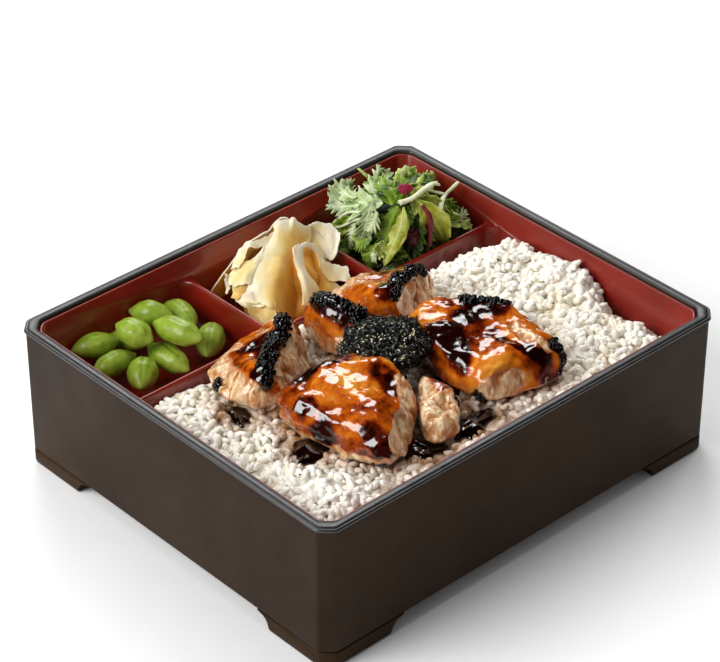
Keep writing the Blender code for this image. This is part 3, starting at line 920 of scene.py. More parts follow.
def buildPuddle(index, centre, long, wide, turn, look, material):
    bm = bmesh.new()
    around, steps = look["around"], look["steps"]
    level = riceTop(*centre)
    rings = []
    for s in range(1, steps + 1):
        share = s / steps
        ring = []
        for k in range(around):
            angle = math.tau * k / around
            reach = share * poolEdge(angle, index)
            a, b = long * reach * math.cos(angle), wide * reach * math.sin(angle)
            x = centre[0] + a * math.cos(turn) - b * math.sin(turn)
            y = centre[1] + a * math.sin(turn) + b * math.cos(turn)
            dome = max(0.0, 1 - share ** 2.6)
            rest = riceTop(x, y) * look["settle"] + level * (1 - look["settle"])
            z = rest + look["lift"] + look["dome"] * dome
            ring.append(bm.verts.new((x, y, z)))
        rings.append(ring)
    middle = bm.verts.new((centre[0], centre[1], level + look["lift"] + look["dome"]))
    for k in range(around):
        bm.faces.new((middle, rings[0][k], rings[0][(k + 1) % around]))
    rings.append([bm.verts.new(v.co - Vector((0, 0, look["skirt"]))) for v in rings[-1]])
    for low, high in zip(rings, rings[1:]):
        for k in range(around):
            bm.faces.new((low[k], high[k], high[(k + 1) % around], low[(k + 1) % around]))
    bm.faces.new(list(reversed(rings[-1])))
    addPiece(f"sauce.{index + 1}", closedMesh(bm, "sauce"), material)


sauceFinish = sauceMaterial(sauceLook)
for index, (centre, long, wide, turn) in enumerate(puddles):
    buildPuddle(index, centre, long, wide, turn, sauceLook, sauceFinish)
print("stage: sauce")

# edamame pods: beans show as soft swellings, and the two ends draw out to a point
podLook = {
    "voxel": 0.0008, "relax": 9, "seam": 0.00035, "swell": 0.00035, "ends": 0.0012, "wrinkle": 0.00025,
    "skin": ("6c8618", "88a02c", "a9bd4c"), "endTone": "a8ba50", "seamTone": "3a4d08",
}


def podMaterial(look):
    material, tree, shader = newMaterial("podSkin", rough=0.40, scatter=0.22, scatterReach=0.002,
                                         scatterRadius=(0.7, 1.0, 0.35), coat=0.14, coatRough=0.22, spec=0.4)
    spot = objectSpot(tree)
    seam, along = attributeValue(tree, "seam"), attributeValue(tree, "along")
    cloud = weighted(tree, (noiseValue(tree, spot, 60, 3), 0.6), (noiseValue(tree, spot, 330, 3), 0.4))
    skin = ramp(tree, cloud, (0.33, 0.52, 0.70), look["skin"])
    ends = times(tree, mixRange(tree, along, 0.55, 1.0, 0, 1), 0.45)
    skin = blendColours(tree, ends, skin, look["endTone"])
    setSocket(tree, shader, "Base Color", blendColours(tree, times(tree, seam, 0.4), skin, look["seamTone"]))
    addBump(tree, shader, noiseValue(tree, spot, 700, 3), 0.12, 0.0004)
    return material


def buildPod(nodeName, look, material, seed):
    mesh = remeshed(mergedCopy(nodeName), look["voxel"], nodeName, look["relax"])
    points, normals = readPoints(mesh)
    away = points - points.mean(axis=0)
    axes = np.linalg.eigh(away.T @ away)[1]
    longWay, sideWay = axes[:, 2], axes[:, 1]
    half = np.abs(away @ longWay).max()
    along = (away @ longWay) / half
    beans = 0.5 + 0.5 * np.cos(along * math.pi * 2.0 + seed)
    side = away @ sideWay
    upright = np.cross(longWay, sideWay)
    upright *= np.sign(upright[2]) if abs(upright[2]) > 0.1 else 1
    across = np.hypot(side, away @ upright) + 1e-9
    seam = (1 - ease(np.abs(side) / across, 0.0, 0.16)) * (away @ upright > 0)
    swell = look["swell"] * beans * (1 - np.abs(along)) - look["seam"] * seam * (1 - along ** 4)
    points += normals * swell[:, None]
    points += np.outer(np.sign(along) * ease(np.abs(along), 0.84, 1.0) * look["ends"], longWay)
    points += normals * (look["wrinkle"] * noiseAt(points, 260, seed))[:, None]
    writePoints(mesh, points)
    writeValues(mesh, seam=seam, along=np.abs(along))
    addPiece(dotted(nodeName), mesh, material, (nodeName,))


podFinish = podMaterial(podLook)
for index, nodeName in enumerate(sorted(name for name in frame["nodes"] if name.startswith("edamame"))):
    buildPod(nodeName, podLook, podFinish, 1.3 * index)
print("stage: pods")

# a heap of thin nori shreds with sesame through it; a kind is its shares of length and width, bow and twist
noriLook = {
    "core": (-0.0125, -0.0235, 0.0755), "reach": (0.0195, 0.0175), "rise": 0.0060, "sink": -0.0150,
    "shredLong": 0.0044, "shredWide": 0.00032, "shredThick": 0.00022, "shredSteps": 4, "shredTaper": 0.55,
    "shredKinds": ((1.0, 1.0, 0.0012, 0.5), (0.75, 0.9, -0.0010, -0.8), (0.55, 1.15, 0.0016, 0.3),
                   (0.9, 0.7, 0.0004, 1.2)),
    "shreds": {"Density": 800000.0, "Seed": 3, "Smallest": 0.7, "Largest": 1.15, "Tilt": 0.75,
               "Sink": -0.0006, "Rise": 0.0022},
    "sesame": {"Density": 310000.0, "Seed": 12, "Smallest": 0.45, "Largest": 0.85, "Tilt": 0.9,
               "Sink": 0.0008, "Rise": 0.0026},
    "seedShape": ((-0.00115, 0), (-0.0008, 0.00050), (0.0, 0.00072), (0.0007, 0.00045), (0.0011, 0)),
    "noriTones": ("060706", "12140f", "23271a"), "sesameTones": ("dcc488", "fbf3d8"),
}


def noriMaterial(codes):
    material, tree, shader = newMaterial("driedNori", rough=0.42, coat=0.25, coatRough=0.25)
    spot = objectSpot(tree)
    colour = ramp(tree, noiseValue(tree, spot, 420, 3), (0.35, 0.6, 0.8), codes)
    setSocket(tree, shader, "Base Color", colour)
    addBump(tree, shader, noiseValue(tree, spot, 1800, 3), 0.4, 0.0003)
    return material


def sesameMaterial(codes):
    material, tree, shader = newMaterial("toastedSesame", rough=0.35, coat=0.4, coatRough=0.15, scatter=0.2,
                                         scatterReach=0.001)
    colour = ramp(tree, noiseValue(tree, objectSpot(tree), 500, 2), (0.35, 0.6), codes)
    setSocket(tree, shader, "Base Color", colour)
    return material


def shred(look, longer, wider, bow, twist):
    bm = bmesh.new()
    rows = []
    steps = look["shredSteps"]
    length, thick = look["shredLong"] * longer, look["shredThick"]
    for s in range(steps + 1):
        t = s / steps * 2 - 1
        turn = twist * t
        middle = Vector((t * length, 0, bow * (1 - t * t)))
        side = Vector((0, math.cos(turn), math.sin(turn)))
        up = Vector((0, -math.sin(turn), math.cos(turn)))
        taper = look["shredWide"] * wider * (look["shredTaper"] if s in (0, steps) else 1.0)
        corners = ((-1, -1), (1, -1), (1, 1), (-1, 1))
        rows.append([bm.verts.new(middle + side * a * taper + up * b * thick) for a, b in corners])
    bridge(bm, rows)
    bm.faces.new(list(reversed(rows[0])))
    bm.faces.new(rows[-1])
    return closedMesh(bm, "shred")


def noriCore(look):
    bm = bmesh.new()
    bmesh.ops.create_icosphere(bm, subdivisions=4, radius=1)
    cx, cy, cz = look["core"]
    wide, deep = look["reach"]
    for vert in bm.verts:
        p = vert.co.copy()
        wobble = 1 + 0.28 * noise.noise(p * 1.7 + Vector((4.2, 0, 0))) + 0.10 * noise.noise(p * 5)
        height = look["sink"] if p.z < 0 else look["rise"]
        squeeze = 1.0 if p.z > -0.2 else 1 + (p.z + 0.2) * 0.75
        vert.co = Vector((cx + p.x * wide * wobble * squeeze, cy + p.y * deep * wobble * squeeze,
                          cz + abs(p.z) ** 1.2 * height * wobble))
    mesh = finished(bm, "noriCore")
    mesh.update()
    normals = readPoints(mesh)[1]
    writeValues(mesh, cover=ease(normals[:, 2], -0.25, 0.25))
    return mesh


def buildNori(look):
    finish = noriMaterial(look["noriTones"])
    mesh = noriCore(look)
    addPiece("nori.core", mesh, finish, ("nori_heap",))
    kinds = [shred(look, *kind) for kind in look["shredKinds"]]
    shreds = scatter("noriShreds", mesh.copy(), kinds, finish, look["shreds"])
    addPiece("nori.shreds", shreds, finish, smooth=False)
    sesameFinish = sesameMaterial(look["sesameTones"])
    seed = turnedBody(look["seedShape"], 6, 0.6)
    seeds = scatter("sesame", mesh.copy(), [seed], sesameFinish, look["sesame"])
    addPiece("nori.sesame", seeds, sesameFinish)


buildNori(noriLook)
print("stage: nori")

# pickled ginger: a few thin slices draped over one another
# places across and down each slice, in mm from the heap's low corner, and how pale: 0 is deep gold
gingerSheets = {
    "drape": (
        ((35, 41, 41, 9), (39, 41, 41, 9), (44, 40, 39, 9), (46, 39, 40, 9), (49, 38, 36, 9),
         (54, 37, 34, 8)),
        ((30, 36, 38, 8), (32, 34, 38, 7), (36, 33, 36, 5), (40, 33, 34, 4), (46, 34, 31, 4),
         (52, 34, 28, 6)),
        ((22, 33, 36, 8), (24, 29, 35, 8), (27, 26, 33, 5), (33, 27, 30, 4), (40, 30, 28, 5),
         (45, 31, 28, 7)),
        ((14, 30, 33, 8), (16, 25, 32, 7), (21, 21, 31, 4), (27, 21, 26, 2), (35, 25, 23, 4),
         (42, 29, 22, 6)),
        ((6, 26, 26, 9), (9, 21, 27, 8), (14, 16, 26, 4), (23, 16, 21, 1), (32, 20, 16, 3),
         (40, 24, 13, 5)),
        ((4, 26, 21, 10), (6, 17, 20, 8), (9, 11, 18, 4), (17, 10, 12, 3), (28, 13, 6, 4), (37, 17, 3, 5)),
    ),
    "backFin": (
        ((47, 37, 35, 8), (53, 38, 33, 9), (57, 37, 34, 9), (61, 35, 33, 9), (64, 33, 32, 10),
         (65, 30, 30, 10), (65, 27, 29, 9)),
        ((45, 35, 32, 5), (52, 36, 29, 5), (56, 35, 28, 7), (59, 32, 28, 9), (61, 30, 28, 9),
         (62, 27, 26, 10), (62, 25, 26, 9)),
        ((43, 32, 29, 5), (49, 32, 26, 4), (53, 31, 25, 6), (56, 28, 24, 9), (58, 26, 24, 9),
         (58, 24, 23, 9), (58, 22, 24, 10)),
        ((41, 28, 25, 4), (46, 28, 23, 4), (50, 27, 22, 5), (53, 25, 21, 8), (54, 23, 20, 10),
         (55, 22, 21, 10), (57, 22, 22, 10)),
    ),
    "goldPocket": (
        ((43, 30, 30, 5), (49, 31, 28, 5), (51, 29, 26, 6), (52, 26, 23, 8)),
        ((41, 27, 25, 2), (47, 28, 22, 1), (49, 26, 21, 3), (49, 22, 21, 6)),
        ((39, 22, 21, 2), (44, 23, 18, 1), (46, 21, 18, 3), (48, 16, 17, 6)),
        ((36, 17, 18, 3), (41, 16, 15, 2), (46, 13, 14, 5), (51, 10, 11, 8)),
        ((27, 11, 16, 3), (35, 10, 12, 2), (43, 9, 8, 4), (52, 9, 5, 6)),
    ),
    "pocketLip": (
        ((33, 25, 35, 8), (37, 26, 34, 9), (40, 26, 34, 9)),
        ((30, 21, 31, 7), (32, 20, 30, 10), (37, 22, 27, 8)),
        ((29, 17, 26, 7), (31, 15, 26, 9), (37, 17, 21, 7)),
        ((26, 11, 22, 7), (29, 10, 21, 8), (37, 12, 17, 5)),
        ((22, 6, 17, 5), (27, 5, 14, 6), (34, 6, 11, 4)),
    ),
    "pocketArch": (
        ((35, 27, 34, 9), (42, 28, 33, 10), (47, 27, 31, 10), (50, 24, 26, 9), (50, 21, 21, 8)),
        ((37, 26, 31, 8), (41, 27, 32, 9), (46, 26, 29, 9), (47, 23, 25, 8), (46, 20, 21, 7)),
    ),
    "rightCurl": (
        ((48, 22, 24, 8), (50, 20, 22, 8), (53, 18, 21, 9), (55, 15, 20, 9), (57, 13, 20, 9)),
        ((46, 19, 20, 6), (49, 17, 19, 7), (52, 15, 18, 8), (55, 13, 18, 9), (56, 11, 17, 9)),
        ((46, 15, 16, 5), (48, 13, 16, 7), (51, 12, 15, 8), (53, 10, 15, 9), (55, 9, 14, 8)),
    ),
    "leftLoop": (
        ((34, 38, 39, 9), (26, 37, 39, 9), (21, 37, 39, 9), (17, 38, 40, 10), (12, 38, 38, 9),
         (9, 38, 34, 8), (4, 36, 31, 8)),
        ((26, 33, 35, 8), (22, 34, 36, 8), (19, 35, 37, 9), (15, 35, 39, 9), (13, 35, 37, 8),
         (10, 34, 34, 6), (7, 33, 32, 7)),
    ),
    "leftPanel": (
        ((22, 33, 37, 8), (17, 33, 34, 7), (12, 34, 33, 6), (7, 36, 31, 7), (4, 37, 28, 8)),
        ((16, 28, 33, 7), (11, 28, 32, 7), (7, 29, 31, 6), (5, 32, 28, 6), (2, 35, 26, 7)),
        ((9, 24, 26, 8), (6, 25, 27, 8), (4, 27, 27, 7), (2, 30, 26, 7), (1, 33, 25, 8)),
    ),
    "thinCurl": (
        ((1, 37, 30, 9), (2, 37, 26, 9), (1, 36, 22, 9), (0, 35, 20, 8)),
        ((2, 36, 29, 9), (3, 36, 25, 8), (2, 35, 22, 9), (0, 34, 20, 8)),
    ),
    "leftUnder": (
        ((2, 32, 26, 6), (4, 29, 27, 6), (7, 27, 26, 6), (10, 25, 26, 7)),
        ((1, 31, 22, 4), (3, 28, 23, 4), (6, 26, 23, 4), (9, 24, 23, 5)),
        ((-1, 30, 20, 4), (2, 27, 21, 4), (5, 25, 21, 5), (7, 22, 21, 5)),
    ),
    "leftFoot": (
        ((1, 30, 18, 9), (3, 27, 21, 9), (5, 24, 24, 9), (8, 22, 24, 8)),
        ((1, 27, 18, 8), (3, 24, 20, 9), (5, 21, 21, 9), (8, 18, 21, 8)),
        ((2, 24, 17, 8), (3, 21, 18, 8), (5, 18, 19, 8), (7, 15, 19, 7)),
    ),
    "frontSkirt": (
        ((2, 23, 20, 6), (5, 19, 21, 6), (8, 16, 21, 6), (11, 12, 21, 5)),
        ((2, 21, 15, 5), (5, 18, 15, 5), (7, 14, 16, 6), (10, 11, 16, 6)),
        ((1, 18, 11, 4), (2, 14, 11, 5), (5, 11, 11, 5), (9, 8, 12, 5)),
    ),
    "backDrape": (
        ((31, 42, 36, 9), (41, 43, 40, 9), (49, 41, 36, 9)),
        ((25, 46, 26, 7), (39, 48, 29, 5), (53, 45, 26, 7)),
        ((21, 51, 14, 6), (37, 53, 15, 3), (55, 50, 13, 6)),
        ((19, 54, 3, 6), (36, 54, 3, 3), (56, 54, 3, 6)),
    ),
    "backLeft": (
        ((11, 41, 32, 9), (21, 42, 36, 9), (33, 42, 37, 9)),
        ((7, 46, 22, 7), (19, 47, 26, 5), (31, 47, 27, 7)),
        ((3, 51, 10, 6), (17, 52, 12, 4), (29, 52, 14, 6)),
        ((2, 54, 3, 6), (16, 54, 3, 4), (29, 54, 3, 6)),
    ),
    "rightSide": (
        ((51, 42, 30, 8), (57, 36, 30, 8), (59, 28, 24, 9)),
        ((54, 46, 16, 6), (57, 36, 15, 4), (57, 25, 14, 6)),
        ((56, 50, 4, 6), (57, 36, 3, 4), (56, 20, 3, 6)),
    ),
}
gingerLook = {
    "thick": 0.00065, "ruffle": 0.00055, "crinkle": 0.00022, "rag": 0.0016, "steps": 9, "creaseAngle": 55,
    "core": {"voxel": 0.0016, "relax": 3, "wide": 0.74, "high": 0.74, "rough": 0.0022},
    "tones": ("dd9220", "ebb048", "f2d084", "f4e4b8", "f5eedc"),
}
# the cells' walls at the tray's floor and how the dividers widen downwards, used to keep food off them
cells = {
    "ginger": {"left": -0.0265, "right": 0.0415, "inner": None, "far": 1.0},
    "salad": {"left": 0.0415, "right": 0.1175, "inner": 0.0056, "far": 0.1119},
    "front": 0.0355, "back": 0.0960, "slim": 0.0026, "wide": 0.0052, "gap": 0.0004,
    "slopeLow": 0.042, "slopeHigh": 0.061, "dividerTop": 0.0622, "floor": 0.0404,
}


def gingerMaterial(look):
    material, tree, shader = newMaterial("pickledGinger", rough=0.38, spec=0.25, coat=0.15, coatRough=0.15,
                                         scatter=0.40, scatterReach=0.0016, scatterRadius=(1.0, 0.85, 0.60))
    spot = objectSpot(tree)
    pale, rim = attributeValue(tree, "pale"), attributeValue(tree, "rim")
    strand = noiseValue(tree, objectSpot(tree, (320, 320, 70)), 1, 3, 0.6)
    cloud = noiseValue(tree, spot, 110, 3)
    grain, blotch = centred(tree, strand), centred(tree, cloud)
    tone = weighted(tree, (pale, 0.84), (grain, 0.26), (blotch, 0.22), (rim, 0.16))
    setSocket(tree, shader, "Base Color", ramp(tree, tone, (0.06, 0.24, 0.46, 0.68, 0.92), look["tones"]))
    first = addBump(tree, shader, strand, 0.25, 0.0005)
    addBump(tree, shader, noiseValue(tree, spot, 240, 3), 0.15, 0.0006, first)
    return material


def smoothRun(rows, steps):
    # a curve through every given row
    rows = np.asarray(rows, dtype=float)
    ends = np.concatenate([[2 * rows[0] - rows[1]], rows, [2 * rows[-1] - rows[-2]]])
    made = []
    for a, b, c, d in zip(ends, ends[1:], ends[2:], ends[3:]):
        pull, bow, swing = c - a, 2 * a - 5 * b + 4 * c - d, 3 * b - a - 3 * c + d
        made += [0.5 * (2 * b + pull * t + bow * t * t + swing * t ** 3) for t in np.arange(steps) / steps]
    return np.array(made + [rows[-1]])


def gridMesh(name, grid, **values):
    rows, columns = grid.shape[:2]
    corners = [r * columns + c for r in range(rows - 1) for c in range(columns - 1)]
    faces = [(k, k + columns, k + columns + 1, k + 1) for k in corners]
    mesh = bpy.data.meshes.new(name)
    mesh.from_pydata([tuple(p) for p in grid.reshape(-1, 3)], [], faces)
    writeValues(mesh, **values)
    return mesh


def unit(steps):
    return steps / (np.linalg.norm(steps, axis=-1, keepdims=True) + 1e-12)


def gingerSheet(name, rows, seed, look):
    grid = smoothRun(rows, look["steps"])
    grid = np.swapaxes(smoothRun(np.swapaxes(grid, 0, 1), look["steps"]), 0, 1)
    pale = np.clip(grid[:, :, 3] / 10, 0, 1)
    grid = grid[:, :, :3] * 0.001 + np.array(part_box("ginger_heap")[0])
    flat = grid.reshape(-1, 3)
    shape = grid.shape[:2]
    wave = noiseAt(flat, (95, 95, 60), seed).reshape(shape)
    crinkle = noiseAt(flat, (330, 330, 90), seed + 7).reshape(shape)
    push = wave * look["ruffle"] + crinkle * look["crinkle"]
    facing = unit(np.cross(np.gradient(grid, axis=0), np.gradient(grid, axis=1)))
    grid = grid + facing * push[:, :, None]
    # the free edges are torn a little unevenly
    down, across = unit(np.gradient(grid, axis=0)), unit(np.gradient(grid, axis=1))
    v = np.linspace(0, 1, shape[0])[:, None]
    u = np.linspace(0, 1, shape[1])[None, :]
    rag = 0.7 * noiseAt(flat, 210, seed + 3) + 0.5 * noiseAt(flat, 480, seed + 4)
    rag = rag.reshape(shape) * look["rag"]
    topAndFoot = np.maximum(0, 1 - v / 0.12) + np.maximum(0, (v - 0.92) / 0.08)
    sides = np.maximum(0, 1 - u / 0.10) + np.maximum(0, (u - 0.90) / 0.10)
    grid = grid + down * (topAndFoot * rag)[:, :, None]
    grid = grid + across * (sides * rag * 0.7)[:, :, None]
    rim = np.maximum(np.maximum(0, 1 - u / 0.08), np.maximum(0, (u - 0.92) / 0.08))
    rim = np.maximum(np.maximum(0, 1 - v / 0.10), rim)
    return gridMesh(name, grid, pale=pale, rim=np.broadcast_to(rim, shape))


def keptInCell(points, cell):
    walls = cells[cell]
    level = ease(points[:, 2], cells["slopeLow"], cells["slopeHigh"])
    half = cells["wide"] + (cells["slim"] - cells["wide"]) * level + cells["gap"]
    inner = half if walls["inner"] is None else walls["inner"]
    low = points[:, 2] < cells["dividerTop"]
    x, y, z = points.T
    x = np.where(low, np.clip(x, walls["left"] + half, walls["right"] - inner), x)
    y = np.where(low, np.maximum(y, cells["front"] + half), y)
    x, y, z = np.minimum(x, walls["far"]), np.minimum(y, cells["back"]), np.maximum(z, cells["floor"])
    return np.stack([x, y, z], axis=1)


def joined(meshes, name):
    bm = bmesh.new()
    for mesh in meshes:
        bm.from_mesh(mesh)
    return finished(bm, name)


def shrunkCore(nodeName, core):
    mesh = remeshed(mergedCopy(nodeName), core["voxel"], nodeName, core["relax"])
    points, normals = readPoints(mesh)
    low = points.min(axis=0)
    middle = (low + points.max(axis=0)) / 2
    points[:, :2] = middle[:2] + (points[:, :2] - middle[:2]) * core["wide"]
    points[:, 2] = low[2] + (points[:, 2] - low[2]) * core["high"]
    points += normals * (core["rough"] * noiseAt(points, (130, 130, 45), 5))[:, None]
    points[:, 2] = np.maximum(points[:, 2], low[2])
    writePoints(mesh, points)
    return mesh


def buildGinger(look):
    finish = gingerMaterial(look)
    core = shrunkCore("ginger_heap", look["core"])
    points = readPoints(core)[0]
    # the core shows only in the gaps between slices and is a deeper gold: painted shade
    pale = 0.22 + 0.2 * noiseAt(points, (200, 200, 40), 2)
    writeValues(core, pale=pale, rim=np.zeros(len(points)))
    addPiece("ginger.core", core, finish, ("ginger_heap",))
    sheets = [gingerSheet(name, rows, 1.7 * k, look) for k, (name, rows) in enumerate(gingerSheets.items())]
    mesh = thickened(joined(sheets, "ginger"), look["thick"], "ginger.slices")
    writePoints(mesh, keptInCell(readPoints(mesh)[0], "ginger"))
    slices = addPiece("ginger.slices", mesh, finish)
    slices.data.set_sharp_from_angle(angle=math.radians(look["creaseAngle"]))


buildGinger(gingerLook)
print("stage: ginger")

# salad: frosted, toothed and broad leaves with pale and red stems
# kind, width in mm, and places along the rib in mm from the heap's low corner
saladLeaves = (
    ("frost", 20, ((16, 17, 43), (12, 25, 41), (13, 41, 35), (5, 44, 40))),
    ("frost", 11, ((13, 21, 41), (14, 39, 38), (15, 46, 39), (13, 48, 41))),
    ("frost", 8, ((13, 33, 40), (21, 46, 35), (22, 48, 40))),
    ("frost", 9, ((10, 27, 40), (9, 37, 35), (2, 42, 36))),
    ("frostStem", 1.6, ((10, 17, 39), (7, 30, 36), (7, 39, 28), (8, 45, 21))),
    ("frostStem", 1.4, ((10, 15, 37), (6, 24, 35), (5, 34, 27), (6, 41, 23))),
    ("frost", 12, ((13, 21, 44), (8, 19, 39), (5, 18, 33), (4, 20, 27))),
    ("frost", 8, ((11, 16, 41), (8, 15, 37), (5, 16, 32))),
    ("frost", 7, ((5, 25, 33), (3, 25, 27), (3, 27, 18))),
    ("frost", 9, ((15, 20, 42), (22, 31, 43), (35, 42, 39), (39, 44, 43))),
    ("frost", 8, ((20, 21, 43), (27, 28, 44), (40, 40, 38), (42, 42, 40))),
    ("stem", 1.5, ((21, 27, 43), (34, 44, 35), (32, 47, 39), (30, 50, 42))),
    ("tooth", 16, ((19, 14, 42), (22, 21, 44), (24, 30, 43), (33, 44, 38))),
    ("tooth", 15, ((22, 13, 42), (24, 18, 45), (27, 25, 45), (41, 42, 36))),
    ("tooth", 13, ((26, 13, 41), (29, 19, 43), (32, 23, 44), (48, 38, 35))),
    ("light", 14, ((29, 20, 40), (37, 22, 42), (55, 34, 31), (58, 30, 30))),
    ("light", 9, ((37, 15, 39), (46, 20, 40), (61, 32, 32), (62, 33, 34))),
    ("light", 13, ((32, 20, 43), (37, 24, 43), (55, 38, 32), (57, 34, 33))),
    ("paleStem", 2.6, ((22, 12, 43), (29, 11, 43), (38, 11, 45), (47, 15, 42), (54, 18, 37))),
    ("paleStem", 2.2, ((40, 3, 34), (46, 8, 36), (58, 17, 31), (64, 15, 36))),
    ("paleStem", 1.5, ((33, 17, 43), (41, 15, 41), (47, 13, 38), (57, 17, 31))),
    ("purpleBit", 7, ((26, 17, 46), (29, 15.5, 47), (33, 14, 45))),
    ("redStem", 2.4, ((32, 7, 40), (33, 3, 35), (32, 1, 27), (30, 0, 20), (30, 1, 12))),
    ("broad", 17, ((31, 10, 42), (33, 4, 37), (38, 1, 26), (45, 3, 10))),
    ("broad", 12, ((28, 11, 40), (35, 9, 39), (42, 7, 34), (49, 6, 28))),
    ("broad", 12, ((39, 9, 39), (37, 12, 41), (32, 10, 39), (27, 7, 36))),
    ("broad", 12, ((22, 9, 42), (17, 6, 35), (12, 6, 26), (8, 8, 15))),
    ("tooth", 14, ((22, 13, 41), (16, 12, 34), (12, 11, 25), (10, 12, 15))),
    # the dark leaves, set low and between the others, are partly painted shade in the heap
    ("dark", 15, ((15, 16, 38), (11, 16, 31), (10, 16, 22), (9, 14, 14))),
    ("dark", 15, ((28, 10, 36), (26, 7, 28), (23, 6, 20), (20, 6, 13))),
    ("dark", 13, ((31, 7, 34), (30, 4, 24), (27, 3, 17))),
    ("tooth", 10, ((7, 15, 29), (4, 19, 26), (3, 22, 24))),
    ("tooth", 10, ((7, 14, 25), (6, 15, 21), (4, 19, 18))),
    ("frost", 7, ((8, 12, 23), (6, 13, 20), (6, 14, 16))),
    ("dark", 12, ((8, 23, 31), (6, 25, 24), (4, 26, 18))),
    ("tooth", 9, ((7, 31, 33), (7, 36, 26), (5, 39, 20), (4, 39, 14))),
    ("tooth", 13, ((41, 4, 31), (45, 3, 26), (56, 8, 12), (56, 4, 11))),
    ("light", 9, ((49, 7, 30), (51, 5, 24), (60, 6, 17), (63, 4, 15))),
    ("frost", 8, ((49, 4, 25), (59, 10, 20), (64, 9, 22))),
    ("tooth", 11, ((50, 11, 33), (53, 10, 28), (53, 6, 23))),
    ("dark", 13, ((45, 8, 34), (46, 5, 25), (47, 4, 15))),
    ("tooth", 10, ((11, 9, 16), (15, 7, 20), (19, 6, 21))),
    ("purple", 8, ((21, 8, 29), (23, 5, 27), (25, 3, 22))),
    ("light", 8, ((11, 11, 27), (9, 11, 23), (7, 13, 18))),
)
leafLook = {
    "thick": 0.00032, "ribSteps": 60, "halfAcross": 5, "ribWidth": 0.0008, "lean": (-0.50, -0.55, 0.68),
    "leanSway": 0.35, "stemSteps": 7, "stemAround": 9, "stemFlat": 0.8,
    "fillers": 54, "fillerLong": (14, 23), "fillerWide": (8, 14),
    "fillerKinds": ("dark", "tooth", "tooth", "dark", "light", "frost", "dark", "tooth", "broad"),
    "core": {"voxel": 0.0016, "relax": 3, "wide": 0.74, "high": 0.66, "rough": 0.0022},
}
# dark, middle and light tone of each kind
leafTones = {
    "frost": ("64833a", "aec286", "e4edcc"), "tooth": ("2c4a08", "5f820e", "a5bb50"),
    "light": ("6b8a1c", "a9be4e", "dbe3a2"), "broad": ("6a7412", "96992a", "c3cb74"),
    # the dark kind's deep greens are partly painted shade where leaves lie under others
    "dark": ("14220a", "2f4808", "5c7a1c"), "purple": ("2a0612", "4a1018", "7c2038"),
    "purpleBit": ("6a0a24", "8a0f2e", "a83050"), "stem": ("9cb43c", "c3d070", "dfe6b0"),
    "paleStem": ("cfd29a", "e3e6bc", "f1f1dc"), "redStem": ("4c0a14", "7a1826", "a84a54"),
    "frostStem": ("a8ba80", "ccd6ac", "e6ead4"),
}
# teeth on each side, how deep they cut, how far they sweep forward and how the edge ruffles
leafForm = {
    "frost": (5, 0.76, 0.95, 0.5), "tooth": (7, 0.50, 0.75, 0.8), "dark": (8, 0.34, 0.45, 0.9),
    "light": (11, 0.20, 0.25, 1.8), "broad": (3, 0.07, 0.10, 1.1), "purple": (6, 0.20, 0.3, 0.8),
    "purpleBit": (3, 0.12, 0.1, 0.5),
}


def leafMaterial(kind):
    material, tree, shader = newMaterial(kind + "Leaf", rough=0.46, scatter=0.12, scatterReach=0.0012,
                                         scatterRadius=(0.6, 1.0, 0.2), spec=0.28, coat=0.12, coatRough=0.2)
    rib, tip = attributeValue(tree, "rib"), attributeValue(tree, "tip")
    spot = objectSpot(tree)
    cloud = weighted(tree, (noiseValue(tree, spot, 120, 4), 0.85), (noiseValue(tree, spot, 420, 3), 0.15))
    colour = ramp(tree, cloud, (0.38, 0.53, 0.72), leafTones[kind])
    light = leafTones[kind][2]
    colour = blendColours(tree, mixRange(tree, tip, 0.72, 1.0, 0.0, 0.45), colour, light)
    setSocket(tree, shader, "Base Color", blendColours(tree, times(tree, rib, 0.7), colour, light))
    first = addBump(tree, shader, rib, 0.12, 0.0004)
    addBump(tree, shader, noiseValue(tree, spot, 380, 4), 0.35, 0.0006, first)
    return material


def ribFrame(spots, steps, lean):
    line = smoothRun(np.asarray(spots, dtype=float) * 0.001 + np.array(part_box("salad_heap")[0]), steps)
    ahead = unit(np.gradient(line, axis=0))
    side = unit(np.cross(ahead, np.array(lean, dtype=float)))
    return line, ahead, side, np.cross(side, ahead)


def leafSpread(kind, t, u, seed):
    # half the leaf's width along the rib, as a share: a swelling cut into teeth
    teeth, cutIn = leafForm[kind][:2]
    phase = (t * teeth + np.where(u > 0, 0.43, 0.0) + 0.35 * math.sin(seed)) % 1.0
    saw = np.where(phase < 0.72, phase / 0.72, (1 - phase) / 0.28)
    swell = np.sin(math.pi * np.clip(0.06 + 0.94 * t, 0, 1) ** 0.85) ** 0.7
    if kind == "broad":
        swell = np.minimum(1.0, t * 1.9 + 0.05) * np.clip((1 - t) * 1.7, 0, 1) ** 0.8
    spread = swell * (1 - cutIn + cutIn * saw) * (1 + 0.15 * math.sin(seed * 3.1) * np.sin(t * 7 + seed))
    spread = np.where(t > 0.95, spread * (1 - t) / 0.05, spread)
    return np.maximum(spread, np.where(t < 0.97, 0.05, 0.0))


